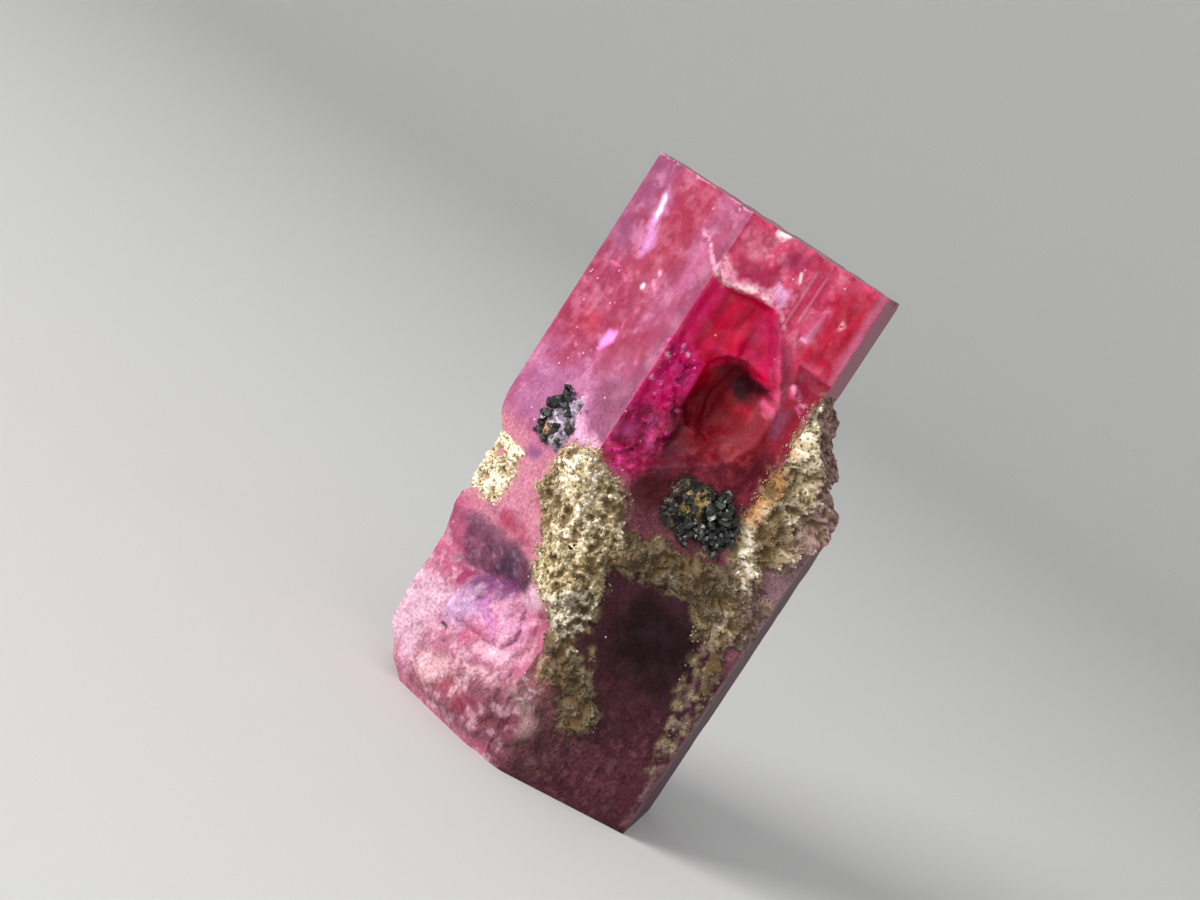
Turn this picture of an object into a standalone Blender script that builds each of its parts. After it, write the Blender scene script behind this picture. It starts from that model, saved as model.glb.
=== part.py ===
"""A red beryl crystal with adhering rock crust and black oxide grains.

The crystal stands on its flat base with its long axis along +Z. Its front, at -Y, shows
the ridge between the left and the front prism faces. All sizes are in millimetres and
are turned to metres when a mesh is made. A place on the crystal's side is given by the
angle round the prism axis, in degrees from -Y towards +X, and by the height.
"""

import math

import bmesh
import bpy
import numpy as np

MM = 0.001

# Driving dimensions of the crystal. The prism axis lies off the middle of the whole object.
HEIGHT = 12.58
AXIS_X = -0.7955
AXIS_Y = -0.0944
FRONT_FACE_TURN = 21.5
SIDES = 6
SIDE_ANGLE = 360.0 / SIDES

# Clear space between the crystal and what sticks to it.
GAP = 0.04

# Length round the crystal's side that one degree stands for, at its usual radius.
MM_PER_DEGREE = 0.056

# How far each prism face lies from the axis, as (height, reach) pairs. The upper prism is
# slimmer on the right, where a second prism has grown on parallel to it below 10 mm.
FACES = {
    "left": [(0.0, 1.62), (0.35, 1.80), (1.4, 2.0), (3.15, 1.90), (3.95, 2.50), (4.6, 2.60),
             (5.8, 2.72), (6.3, 2.824)],
    "front": [(0.0, 2.86), (0.3, 2.95), (5.2, 2.95), (6.1, 2.70), (6.6, 2.56)],
    "right": [(7.5, 4.32), (7.9, 4.07), (8.2, 3.80), (8.6, 3.47), (9.0, 3.20), (9.3, 2.92),
              (9.7, 2.80), (10.2, 2.835)],
    "back_right": [(6.7, 4.30), (7.5, 3.9), (8.5, 3.15), (9.6, 2.787)],
    "back": [(7.4, 2.65), (8.2, 2.597)],
    "back_left": [(0.0, 1.50), (0.33, 1.85), (0.9, 2.27), (1.4, 2.42), (3.1, 2.45), (4.25, 2.50),
                  (4.6, 2.27), (5.7, 2.27), (5.95, 2.50), (6.25, 2.72), (6.65, 2.798)],
}
COLUMNS = {"left": 20, "front": 28, "right": 14, "back_right": 10, "back": 7, "back_left": 12}
ROW_BANDS = [(0.0, 1.2, 6), (1.2, 6.9, 30), (6.9, 11.4, 24), (11.4, HEIGHT, 2)]

# Hollows and lumps: outline in (angle, height), then the level of the floor or crown over
# the prism face, and the width of the slope inside the outline.
SCOOP = [(-12.9, 11.3), (-9, 11.1), (4, 11.17), (16, 11.16), (26, 10.75), (35, 10.1), (44, 9.5),
         (45, 8.6), (38, 7.9), (20, 7.4), (4, 6.9), (-12.9, 7.1)]
PIT = [(4, 9.5), (12, 9.85), (25, 9.95), (38, 9.8), (42, 9.3), (41, 8.5), (30, 8.05), (14, 8.1),
       (5, 8.4)]
LILAC_LUMP = [(-62, 2.9), (-45, 3.1), (-20, 3.25), (-4, 3.15), (1, 2.5), (-4, 2.05), (-25, 1.95),
              (-50, 1.9)]
FOOT_LUMP = [(-60, 0.75), (-40, 1.05), (-21, 1.3), (-5, 1.6), (10, 1.75), (25, 1.65), (28, 1.25),
             (27, 0.83), (20, 0.5), (5, 0.2), (-15, 0.12), (-40, 0.22)]
HOLLOWS_AND_LUMPS = [
    (SCOOP, -0.50, 0.55),
    (PIT, -0.60, 0.50),
    (LILAC_LUMP, 0.30, 0.50),
    (FOOT_LUMP, 0.22, 0.22),
]

# The broken slopes, where the surface is uneven, and by how much.
SHOULDER = [(57, 10.0), (62, 7.6), (90, 7.3), (125, 6.8), (165, 7.4), (150, 9.2), (100, 10.0)]
BROKEN_CORNER = [(-120, 0.1), (-120, 1.3), (-75, 3.0), (-60, 4.3), (-20, 4.3), (-5, 3.3), (-8, 0.2),
                 (-60, 0.1)]
BROKEN_AREAS = [(SHOULDER, 0.10), (BROKEN_CORNER, 0.06), (SCOOP, 0.07)]
BROKEN_SLOPE = 0.30

# Unevenness is a sum of waves of these lengths.
WAVES = 9
SHORTEST_WAVE = 0.45
LONGEST_WAVE = 1.1
SEED = 7

# Outlines of what sticks to the crystal, in (angle, height).
CRUST = [(-27, 6.45), (-31, 5.4), (-21, 5.0), (-14, 4.6), (-11, 4.1), (-6, 3.75), (3, 3.3), (9, 2.6),
         (16, 2.15), (27, 1.75), (35, 1.3), (44, 1.35), (48, 1.75), (42, 2.35), (32, 2.85), (22, 3.4),
         (19, 4.3), (15, 4.85), (33, 5.0), (51, 5.05), (59, 4.7), (63, 3.7), (65, 2.5), (66.5, 1.4),
         (68.5, 1.4), (69.5, 4.6),
         (72, 6.4), (77, 7.3), (86, 7.9), (100, 8.5), (112, 9.2), (104, 9.9), (80, 10.15),
         (57, 10.1), (57, 6.1), (36, 5.95), (13, 5.8), (3, 6.25), (-6, 6.55), (-18, 6.85)]
CRUST_THICKNESS = 0.24
CRUST_ROUGHNESS = 0.12
CRUST_EDGE = 0.06
CRUST_SLOPE = 0.30
RIM_SHIFT = 0.08
LEFT_PATCH = [(-84, 4.75), (-68, 4.5), (-47, 4.5), (-45, 5.1), (-46, 5.75), (-63, 5.85), (-84, 5.6)]
LEFT_PATCH_THICKNESS = 0.10
LEFT_PATCH_ROUGHNESS = 0.04
BLACK_UPPER = [(-43, 6.25), (-31, 6.25), (-28, 6.8), (-32, 7.4), (-41, 7.4), (-45, 6.8)]
BLACK_LOWER = [(21, 6.6), (24, 7.25), (36, 7.35), (53, 7.2), (55.5, 6.5), (50, 6.2), (26, 6.2)]
BLACK_THICKNESS = 0.10
CLEAR_OF_BLACK = 0.16
GRAIN_SIZE = 0.17
SMALLEST_GRAIN = 0.85
LARGEST_GRAIN = 1.2
UPPER_GRAINS = 16
LOWER_RING_GRAINS = 18
LOWER_MIDDLE_GRAINS = 8
RING = 0.8
MIDDLE_RING = 0.35

# Filling the corner contacts of a layer's cells can make new ones, so it is done this often.
FILL_PASSES = 4


def place(angle, height, distance):
    """The points, in metres, at this distance from the prism axis."""
    turn = np.radians(angle)
    x = AXIS_X + distance * np.sin(turn)
    y = AXIS_Y - distance * np.cos(turn)
    return np.stack([x, y, height * np.ones_like(x)], axis=-1) * MM


def outline_depth(angle, height, outline):
    """Distance inside the outline in millimetres, negative outside it."""
    x = angle * MM_PER_DEGREE
    inside = np.zeros(x.shape, bool)
    nearest = np.full(x.shape, np.inf)
    points = [(a * MM_PER_DEGREE, z) for a, z in outline]
    for (x0, z0), (x1, z1) in zip(points, points[1:] + points[:1]):
        along = np.array([x1 - x0, z1 - z0])
        part = ((x - x0) * along[0] + (height - z0) * along[1]) / (along @ along)
        part = np.clip(part, 0.0, 1.0)
        away = np.hypot(x - x0 - part * along[0], height - z0 - part * along[1])
        nearest = np.minimum(nearest, away)
        if z0 != z1:
            crosses = (z0 > height) != (z1 > height)
            inside ^= crosses & (x < x0 + (height - z0) * (x1 - x0) / (z1 - z0))
    return np.where(inside, nearest, -nearest)


def plateau(angle, height, outline, level, slope):
    """A floor or crown at the level inside the outline, with a round slope at its edge."""
    part = np.clip(outline_depth(angle, height, outline) / slope, 0.0, 1.0)
    return level * np.sqrt(part * (2.0 - part))


def wavy(angle, height, seed):
    """Smooth unevenness from -1 to 1, a sum of waves in seeded directions."""
    random = np.random.default_rng(seed)
    total = np.zeros_like(angle)
    for _ in range(WAVES):
        direction = random.uniform(0.0, math.tau)
        length = random.uniform(SHORTEST_WAVE, LONGEST_WAVE)
        phase = random.uniform(0.0, math.tau)
        along = angle * MM_PER_DEGREE * math.cos(direction) + height * math.sin(direction)
        total += np.sin(math.tau * along / length + phase)
    return np.clip(2.0 * total / WAVES, -1.0, 1.0)


def relief(angle, height):
    """How far hollows, lumps and broken slopes put the surface off the prism faces."""
    total = np.zeros_like(angle)
    for outline, level, slope in HOLLOWS_AND_LUMPS:
        total += plateau(angle, height, outline, level, slope)
    for outline, unevenness in BROKEN_AREAS:
        total += plateau(angle, height, outline, unevenness, BROKEN_SLOPE) * wavy(angle, height, SEED)
    return total


def prism_grid():
    """Angle, height and distance from the axis at each point of the crystal's side.

    At each height the six faces meet in corners worked out from their reaches. Each face
    is then divided evenly from corner to corner, so the ridges stay straight and sharp.
    """
    bands = [np.linspace(low, high, rows, endpoint=False) for low, high, rows in ROW_BANDS]
    heights = np.append(np.concatenate(bands), HEIGHT)
    reaches = [np.interp(heights, *zip(*pairs)) for pairs in FACES.values()]
    corners = []
    for k in range(SIDES):
        normal = math.radians(FRONT_FACE_TURN + (k - 1) * SIDE_ANGLE)
        step = math.radians(SIDE_ANGLE)
        reach = reaches[k]
        across = (reaches[(k + 1) % SIDES] - reach * math.cos(step)) / math.sin(step)
        corner_x = reach * math.sin(normal) + across * math.cos(normal)
        corner_y = reach * math.cos(normal) - across * math.sin(normal)
        corners.append(np.stack([corner_x, corner_y], axis=-1))
    columns = []
    for k, count in enumerate(COLUMNS.values()):
        first = corners[(k - 1) % SIDES]
        last = corners[k]
        for part in np.arange(count) / count:
            columns.append(first + (last - first) * part)
    flat = np.stack(columns, axis=1)
    angle = np.degrees(np.arctan2(flat[..., 0], flat[..., 1]))
    height = heights[:, None] * np.ones_like(angle)
    distance = np.hypot(flat[..., 0], flat[..., 1])
    return angle, height, distance + relief(angle, height)


def add_object(name, points, faces, material):
    """An object from points in metres and faces as lists of corners."""
    mesh = bpy.data.meshes.new(name)
    mesh.from_pydata([tuple(p) for p in points], [], [tuple(f) for f in faces])
    mesh.materials.append(material)
    mesh.validate()
    obj = bpy.data.objects.new(name, mesh)
    bpy.context.collection.objects.link(obj)
    return obj


def make_material(name, colour, roughness, alpha=1.0, transmission=0.0):
    """A Principled material of this colour, given as linear red, green and blue."""
    material = bpy.data.materials.new(name)
    material.use_nodes = True
    shader = material.node_tree.nodes["Principled BSDF"]
    shader.inputs["Base Color"].default_value = (*colour, 1.0)
    shader.inputs["Roughness"].default_value = roughness
    shader.inputs["Metallic"].default_value = 0.0
    shader.inputs["Alpha"].default_value = alpha
    shader.inputs["Transmission Weight"].default_value = transmission
    return material


def make_crystal(angle, height, distance, material):
    """The crystal: its side surface, closed by a flat base and a flat top."""
    rows, columns = angle.shape
    side = place(angle, height, distance).reshape(-1, 3)
    middle_base = place(np.array(0.0), 0.0, np.array(0.0))
    middle_top = place(np.array(0.0), HEIGHT, np.array(0.0))
    points = np.concatenate([side, [middle_base, middle_top]])
    base = len(side)
    top = base + 1
    faces = []
    for j in range(columns):
        k = (j + 1) % columns
        for i in range(rows - 1):
            low = i * columns
            high = low + columns
            faces.append((low + j, low + k, high + k, high + j))
        faces.append((base, k, j))
        faces.append((top, (rows - 1) * columns + j, (rows - 1) * columns + k))
    return add_object("red_beryl", points, faces, material)


def surface_distance(angle, height, grid):
    """Distance from the axis of the crystal's side at one place between the grid's points."""
    angles, heights, distances = grid
    row = int(np.clip(np.searchsorted(heights[:, 0], height) - 1, 0, len(heights) - 2))
    found = []
    for k in (row, row + 1):
        order = np.argsort(angles[k])
        found.append(np.interp(angle, angles[k][order], distances[k][order], period=360.0))
    part = (height - heights[row, 0]) / (heights[row + 1, 0] - heights[row, 0])
    return found[0] + (found[1] - found[0]) * part


def onto_outline(angle, height, outline):
    """The place moved towards the outline, by no more than RIM_SHIFT."""
    step = 0.01
    here = outline_depth(angle, height, outline)
    rise_x = (outline_depth(angle + step / MM_PER_DEGREE, height, outline) - here) / step
    rise_z = (outline_depth(angle, height + step, outline) - here) / step
    shift = -np.clip(here, -RIM_SHIFT, RIM_SHIFT)
    return angle + shift * rise_x / MM_PER_DEGREE, height + shift * rise_z


def joined_cells(cells):
    """The largest patch of cells, with corner contacts filled so that it closes cleanly."""
    cells = cells.copy()
    for _ in range(FILL_PASSES):
        right = np.roll(cells, -1, axis=1)
        above = np.roll(cells, -1, axis=0)
        beyond = np.roll(above, -1, axis=1)
        pinch = (cells & beyond & ~right & ~above) | (right & above & ~cells & ~beyond)
        pinch[-1] = False
        cells |= pinch | np.roll(pinch, 1, axis=1)
    rest = cells.copy()
    best = np.zeros_like(cells)
    while rest.any():
        found = np.zeros_like(cells)
        found[tuple(np.argwhere(rest)[0])] = True
        size = 0
        while found.sum() > size:
            size = found.sum()
            grown = found | np.roll(found, 1, axis=1) | np.roll(found, -1, axis=1)
            grown[1:] |= found[:-1]
            grown[:-1] |= found[1:]
            found = grown & rest
        rest &= ~found
        if found.sum() > best.sum():
            best = found
    return best


def make_layer(name, grid, outline, thickness, roughness, material, keep_off=()):
    """A layer that sticks to the crystal inside an outline.

    It covers the cells of the crystal's own grid whose middle is inside the outline. Its
    under side follows the crystal at the gap, and its rim points move onto the outline.
    """
    angle, height, distance = grid
    span = (np.roll(angle, -1, axis=1) - angle + 180.0) % 360.0 - 180.0
    middle_angle = (angle + span / 2)[:-1]
    middle_height = (height[1:] + height[:-1]) / 2
    cells = outline_depth(middle_angle, middle_height, outline) > 0
    for other in keep_off:
        cells &= outline_depth(middle_angle, middle_height, other) < -CLEAR_OF_BLACK
    cells = joined_cells(cells)

    around = cells | np.roll(cells, 1, axis=1)
    used = np.zeros(angle.shape, bool)
    used[:-1] |= around
    used[1:] |= around
    full = cells & np.roll(cells, 1, axis=1)
    inner = np.zeros(angle.shape, bool)
    inner[1:-1] = full[:-1] & full[1:]

    part = np.clip(outline_depth(angle, height, outline) / CRUST_SLOPE, 0.0, 1.0)
    body = plateau(angle, height, outline, thickness, CRUST_SLOPE)
    body += roughness * wavy(angle, height, SEED) * part
    rise = np.where(inner, np.maximum(body, CRUST_EDGE), CRUST_EDGE)
    number = np.full(angle.shape, -1)
    number[used] = np.arange(used.sum())
    count = used.sum()
    flat_angle, flat_height, flat_distance = angle[used], height[used], distance[used]
    rim = ~inner[used]
    moved_angle, moved_height = onto_outline(flat_angle[rim], flat_height[rim], outline)
    flat_angle[rim] = moved_angle
    flat_height[rim] = moved_height
    flat_distance[rim] = [surface_distance(a, z, grid) for a, z in zip(moved_angle, moved_height)]
    under = place(flat_angle, flat_height, flat_distance + GAP)
    over = place(flat_angle, flat_height, flat_distance + GAP + rise[used])
    faces = []
    columns = angle.shape[1]
    for i, j in np.argwhere(cells):
        k = (j + 1) % columns
        a, b, c, d = number[i, j], number[i, k], number[i + 1, k], number[i + 1, j]
        faces.append((a + count, b + count, c + count, d + count))
        faces.append((d, c, b, a))
        below_free = i == 0 or not cells[i - 1, j]
        above_free = i + 1 == cells.shape[0] or not cells[i + 1, j]
        right_free = not cells[i, k]
        left_free = not cells[i, j - 1]
        rims = ((a, b, below_free), (b, c, right_free), (c, d, above_free), (d, a, left_free))
        for first, last, free in rims:
            if free:
                faces.append((first, last, last + count, first + count))
    return add_object(name, np.concatenate([under, over]), faces, material)


def add_grains(layer, grid, spots, material):
    """Small cubes half sunk in the layer at the spots, joined to it in one body."""
    random = np.random.default_rng(SEED)
    angle, height, distance = grid
    shape = bmesh.new()
    for spot_angle, spot_height in spots:
        nearest = np.argmin(np.hypot((angle - spot_angle) * MM_PER_DEGREE, height - spot_height))
        out = distance.reshape(-1)[nearest] + GAP + BLACK_THICKNESS
        middle = place(np.array(float(spot_angle)), spot_height, np.array(out))
        size = GRAIN_SIZE * random.uniform(SMALLEST_GRAIN, LARGEST_GRAIN)
        cube = bmesh.ops.create_cube(shape, size=size * MM)
        turn = random.uniform(0.0, math.tau, 3)
        for vert in cube["verts"]:
            corner = np.array(vert.co)
            for first, second, by in ((0, 1, turn[0]), (1, 2, turn[1]), (2, 0, turn[2])):
                a, b = corner[first], corner[second]
                corner[first] = a * math.cos(by) - b * math.sin(by)
                corner[second] = a * math.sin(by) + b * math.cos(by)
            vert.co = corner + middle
    mesh = bpy.data.meshes.new(layer.name + "_cubes")
    shape.to_mesh(mesh)
    shape.free()
    mesh.materials.append(material)
    cubes = bpy.data.objects.new(layer.name + "_cubes", mesh)
    bpy.context.collection.objects.link(cubes)
    cubes.hide_render = True
    cubes.display_type = "WIRE"
    union = layer.modifiers.new("grains", "BOOLEAN")
    union.operation = "UNION"
    union.solver = "EXACT"
    union.use_self = True
    union.object = cubes


def ring_spots(outline, count, inset):
    """Spots spread evenly along an outline drawn in towards its middle."""
    corners = np.array(outline, float)
    middle = corners.mean(axis=0)
    corners = middle + (corners - middle) * inset
    closed = np.concatenate([corners, corners[:1]])
    steps = np.hypot(np.diff(closed[:, 0]) * MM_PER_DEGREE, np.diff(closed[:, 1]))
    travelled = np.concatenate([[0.0], np.cumsum(steps)])
    wanted = np.linspace(0.0, travelled[-1], count, endpoint=False)
    angles = np.interp(wanted, travelled, closed[:, 0])
    heights = np.interp(wanted, travelled, closed[:, 1])
    return list(zip(angles, heights))


def main():
    for obj in list(bpy.data.objects):
        bpy.data.objects.remove(obj)

    beryl = make_material("red_beryl", (0.60, 0.03, 0.12), 0.08, alpha=0.8, transmission=0.8)
    crust = make_material("rhyolite_crust", (0.66, 0.55, 0.34), 0.95)
    oxide = make_material("black_oxide", (0.012, 0.015, 0.015), 0.35)

    grid = prism_grid()
    make_crystal(*grid, beryl)
    blacks = (BLACK_UPPER, BLACK_LOWER)
    make_layer("matrix_crust", grid, CRUST, CRUST_THICKNESS, CRUST_ROUGHNESS, crust, blacks)
    make_layer("matrix_patch_left", grid, LEFT_PATCH, LEFT_PATCH_THICKNESS, LEFT_PATCH_ROUGHNESS, crust)
    upper = make_layer("black_grains_upper", grid, BLACK_UPPER, BLACK_THICKNESS, 0.0, oxide)
    lower = make_layer("black_grains_lower", grid, BLACK_LOWER, BLACK_THICKNESS, 0.0, oxide)
    upper_spots = ring_spots(BLACK_UPPER, UPPER_GRAINS, RING)
    lower_spots = ring_spots(BLACK_LOWER, LOWER_RING_GRAINS, RING)
    lower_spots += ring_spots(BLACK_LOWER, LOWER_MIDDLE_GRAINS, MIDDLE_RING)
    add_grains(upper, grid, upper_spots, oxide)
    add_grains(lower, grid, lower_spots, oxide)


main()
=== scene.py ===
"""The looks of a red beryl crystal with rock crust and black oxide grains.

All sizes are in millimetres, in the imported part's frame: +Z up along the prism axis, the
base at zero, the front at -Y. A place on the crystal's side is given by the angle round the
prism axis, in degrees from -Y towards +X, and by the height.
"""

import sys

import logging
import math
from dataclasses import dataclass, field, replace
from enum import Enum, IntEnum

import bpy
import numpy as np
import numpy.typing as npt
from mathutils import Matrix, Vector


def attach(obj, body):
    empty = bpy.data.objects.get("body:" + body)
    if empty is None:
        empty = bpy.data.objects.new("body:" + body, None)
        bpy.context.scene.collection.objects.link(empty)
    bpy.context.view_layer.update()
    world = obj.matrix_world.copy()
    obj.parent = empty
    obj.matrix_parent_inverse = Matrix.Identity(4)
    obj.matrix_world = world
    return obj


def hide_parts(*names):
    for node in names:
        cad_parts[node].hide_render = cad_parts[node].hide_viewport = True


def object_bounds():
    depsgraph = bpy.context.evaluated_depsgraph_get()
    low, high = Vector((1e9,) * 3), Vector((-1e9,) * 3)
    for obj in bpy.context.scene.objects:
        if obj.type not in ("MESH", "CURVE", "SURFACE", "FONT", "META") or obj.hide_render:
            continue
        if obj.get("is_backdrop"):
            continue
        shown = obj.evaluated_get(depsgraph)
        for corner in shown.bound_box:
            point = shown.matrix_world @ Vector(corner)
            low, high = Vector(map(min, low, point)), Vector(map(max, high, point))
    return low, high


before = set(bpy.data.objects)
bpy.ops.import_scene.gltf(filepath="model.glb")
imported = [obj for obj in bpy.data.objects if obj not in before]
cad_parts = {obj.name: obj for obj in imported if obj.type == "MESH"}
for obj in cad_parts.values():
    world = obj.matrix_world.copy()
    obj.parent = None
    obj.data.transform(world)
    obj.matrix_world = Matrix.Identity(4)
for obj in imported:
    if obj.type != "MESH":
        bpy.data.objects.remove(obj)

Array = npt.NDArray[np.float64]
Cells = npt.NDArray[np.int64]
Outline = tuple[tuple[float, float], ...]
Span = tuple[float, float, float, float]

MM = 0.001
LOG = logging.getLogger("red_beryl")

# Width over which the rim of a hollow or lump is rounded.
SOFT_RIM = 0.12

# Length round the crystal's side that one degree stands for, at its usual radius.
MM_PER_DEGREE = 0.056

# Size of the noise that frays the edges of colour patches.
FINE_BREAKUP = 0.13

# How many different slopes the flat facets of a broken face can have.
FACET_NAMES = 4096.0


class Seed(IntEnum):
    """What each pattern of noise starts from, so that no two are alike."""

    CHIPS = 31
    SKIN = 40
    TERRACES = 55
    TOP_GRAIN = 57
    ROCK_DUST = 61
    GRIT = 71
    STAINS_AND_SHADE = 77
    GRAINS = 90
    FACET_SLOPES = 200


def smooth_step(value: Array) -> Array:
    """Rises from 0 to 1 with level ends: 3 t squared minus 2 t cubed, with t cut to 0 and 1."""
    part = np.clip(value, 0.0, 1.0)
    return part * part * (3.0 - 2.0 * part)


def lattice_random(cell: Cells, seed: int) -> Array:
    """Gives each cell of a lattice a repeatable number.

    The cell's whole coordinates are added in one by one, and after each the bits are mixed
    by a shift and by a product with a large odd number. The top 53 bits are the number.

    Args:
        cell: Whole coordinates, with the three axes last.
        seed: Picks one of many independent sets of numbers.

    Returns:
        A number from 0 to 1 for each cell.
    """
    mixed = np.full(cell.shape[:-1], seed * 0x9E3779B97F4A7C15 % 2**64, np.uint64)
    for axis in range(cell.shape[-1]):
        mixed += cell[..., axis].astype(np.uint64)
        mixed ^= mixed >> np.uint64(31)
        mixed *= np.uint64(0xBF58476D1CE4E5B9)
        mixed ^= mixed >> np.uint64(27)
        mixed *= np.uint64(0x94D049BB133111EB)
    mixed ^= mixed >> np.uint64(31)
    return (mixed >> np.uint64(11)) / float(2**53)


def cloud(points: Array, size: float, seed: int) -> Array:
    """Smooth noise whose blobs measure about `size`.

    The eight lattice numbers round a point are blended by the smooth step of its place
    between them.

    Args:
        points: Places in millimetres, with the three axes last.
        size: Spacing of the lattice in millimetres.
        seed: Picks one of many independent patterns.

    Returns:
        Values from -1 to 1.
    """
    scaled = points / size
    cell = np.floor(scaled).astype(np.int64)
    part = smooth_step(scaled - cell)
    total = np.zeros(points.shape[:-1])
    for corner in np.ndindex(2, 2, 2):
        weight = np.prod(np.where(np.array(corner) == 1, part, 1.0 - part), axis=-1)
        total += weight * lattice_random(cell + np.array(corner), seed)
    return 2.0 * total - 1.0


def layered_cloud(points: Array, size: float, layers: int, seed: int) -> Array:
    """Noise with finer and finer detail: each layer has half the size and half the strength."""
    total = np.zeros(points.shape[:-1])
    for layer in range(layers):
        total += cloud(points, size / 2**layer, seed + layer) / 2**layer
    return total / (2.0 - 0.5 ** (layers - 1))


@dataclass
class Grained:
    """The nearest grain at each point, in a packing of grains with one centre per lattice cell."""

    near: Array
    which: Array
    offset: Array


def grained(points: Array, size: float, seed: int) -> Grained:
    """Finds the nearest grain centre at each point.

    Each lattice cell has one centre at a random place in it. The 27 cells round a point are
    tried, and the nearest centre is kept.

    Args:
        points: Places in millimetres, with the three axes last.
        size: Spacing of the grains in millimetres.
        seed: Picks one of many independent packings.

    Returns:
        The distance to the centre in millimetres, a number from 0 to 1 that names the grain,
        and the vector from its centre.
    """
    scaled = points / size
    cell = np.floor(scaled).astype(np.int64)
    near = np.full(points.shape[:-1], np.inf)
    which = np.zeros_like(near)
    offset = np.zeros_like(points)
    for step in np.ndindex(3, 3, 3):
        there = cell + np.array(step) - 1
        jitter = np.stack([lattice_random(there, seed + k) for k in (1, 2, 3)], axis=-1)
        away = scaled - there - jitter
        length = np.linalg.norm(away, axis=-1)
        closer = length < near
        which = np.where(closer, lattice_random(there, seed + 4), which)
        offset = np.where(closer[..., None], away, offset)
        near = np.minimum(near, length)
    return Grained(near * size, which, offset * size)


def linear(colour: str) -> Array:
    """Turns an sRGB hex colour such as #c8506c to linear red, green and blue."""
    parts = np.array([int(colour[k:k + 2], 16) for k in (1, 3, 5)]) / 255.0
    return np.where(parts <= 0.04045, parts / 12.92, ((parts + 0.055) / 1.055) ** 2.4)


class Form(Enum):
    """How a patch's outline is read."""

    AREA = "the closed outline's inside"
    LINE = "a band along the open line"
    BLOTS = "scattered blots inside a closed outline"


def outline_depth(angle: Array, height: Array, outline: Outline, form: Form = Form.AREA) -> Array:
    """Distance inside an outline drawn on the unrolled side, or nearness to a line.

    The nearest point of each stretch is found by projection, and the shortest distance of
    all is kept. A ray to the left counts crossings, which tells inside from outside.

    Args:
        angle: Degrees round the axis.
        height: Millimetres above the base.
        outline: Corners as (angle, height).
        form: How the outline is read. Only a line isn't closed.

    Returns:
        Millimetres inside the outline, negative outside it and everywhere beside a line.
    """
    middle = (min(a for a, _ in outline) + max(a for a, _ in outline)) / 2
    x = ((angle - middle + 180.0) % 360.0 - 180.0 + middle) * MM_PER_DEGREE
    inside = np.zeros(x.shape, bool)
    nearest = np.full(x.shape, np.inf)
    points = [(a * MM_PER_DEGREE, z) for a, z in outline]
    ends = points[1:] + points[:1] if form is not Form.LINE else points[1:]
    for (x0, z0), (x1, z1) in zip(points, ends):
        along = np.array([x1 - x0, z1 - z0])
        part = np.clip(((x - x0) * along[0] + (height - z0) * along[1]) / (along @ along), 0.0, 1.0)
        away = np.hypot(x - x0 - part * along[0], height - z0 - part * along[1])
        nearest = np.minimum(nearest, away)
        if z0 != z1 and form is not Form.LINE:
            crosses = (z0 > height) != (z1 > height)
            inside ^= crosses & (x < x0 + (height - z0) * (x1 - x0) / (z1 - z0))
    return np.where(inside, nearest, -nearest)


def plateau(depth: Array, level: float, slope: float) -> Array:
    """A floor or crown at `level`, reached over `slope` by a quarter of an ellipse with a soft start."""
    part = np.clip(depth / slope, 0.0, 1.0)
    return level * np.sqrt(part * (2.0 - part)) * smooth_step(depth / SOFT_RIM)


class Face(Enum):
    """The six prism faces, in order round the axis, and how far each lies from it.

    The value holds (height, reach) pairs. The upper prism is slimmer on the right, where a
    second prism has grown on parallel to it below 10 mm.
    """

    LEFT = ((0.0, 1.62), (0.35, 1.80), (1.4, 2.0), (3.15, 1.90), (3.95, 2.50), (4.6, 2.60),
            (5.8, 2.72), (6.3, 2.824))
    FRONT = ((0.0, 2.86), (0.3, 2.95), (5.2, 2.95), (6.1, 2.70), (6.6, 2.56))
    RIGHT = ((7.5, 4.32), (7.9, 4.07), (8.2, 3.80), (8.6, 3.47), (9.0, 3.20), (9.3, 2.92),
             (9.7, 2.80), (10.2, 2.835))
    BACK_RIGHT = ((6.7, 4.30), (7.5, 3.9), (8.5, 3.15), (9.6, 2.787))
    BACK = ((7.4, 2.65), (8.2, 2.597))
    BACK_LEFT = ((0.0, 1.50), (0.33, 1.85), (0.9, 2.27), (1.4, 2.42), (3.1, 2.45), (4.25, 2.50),
                 (4.6, 2.27), (5.7, 2.27), (5.95, 2.50), (6.25, 2.72), (6.65, 2.798))

    def reach(self, height: Array) -> Array:
        """The face's distance from the axis at each height."""
        return np.interp(height, *zip(*self.value))

    @property
    def number(self) -> int:
        """The face's place in the order round the axis."""
        return list(Face).index(self)


@dataclass(frozen=True)
class Hollow:
    """A hollow or lump: outline, level over the prism face and width of the slope inside it."""

    outline: Outline
    level: float
    slope: float


FOOT_LUMP: Outline = (
    (-60, 0.75), (-40, 1.05), (-21, 1.3), (-5, 1.6), (10, 1.75), (25, 1.65), (28, 1.25), (27, 0.83),
    (20, 0.5), (5, 0.2), (-15, 0.12), (-40, 0.22))
SHOULDER: Outline = (
    (57, 10.0), (62, 7.6), (90, 7.3), (125, 6.8), (165, 7.4), (150, 9.2), (100, 10.0))
BROKEN_CORNER: Outline = (
    (-120, 0.1), (-120, 1.3), (-75, 3.0), (-60, 4.3), (-20, 4.3), (-5, 3.3), (-8, 0.2), (-60, 0.1))


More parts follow.
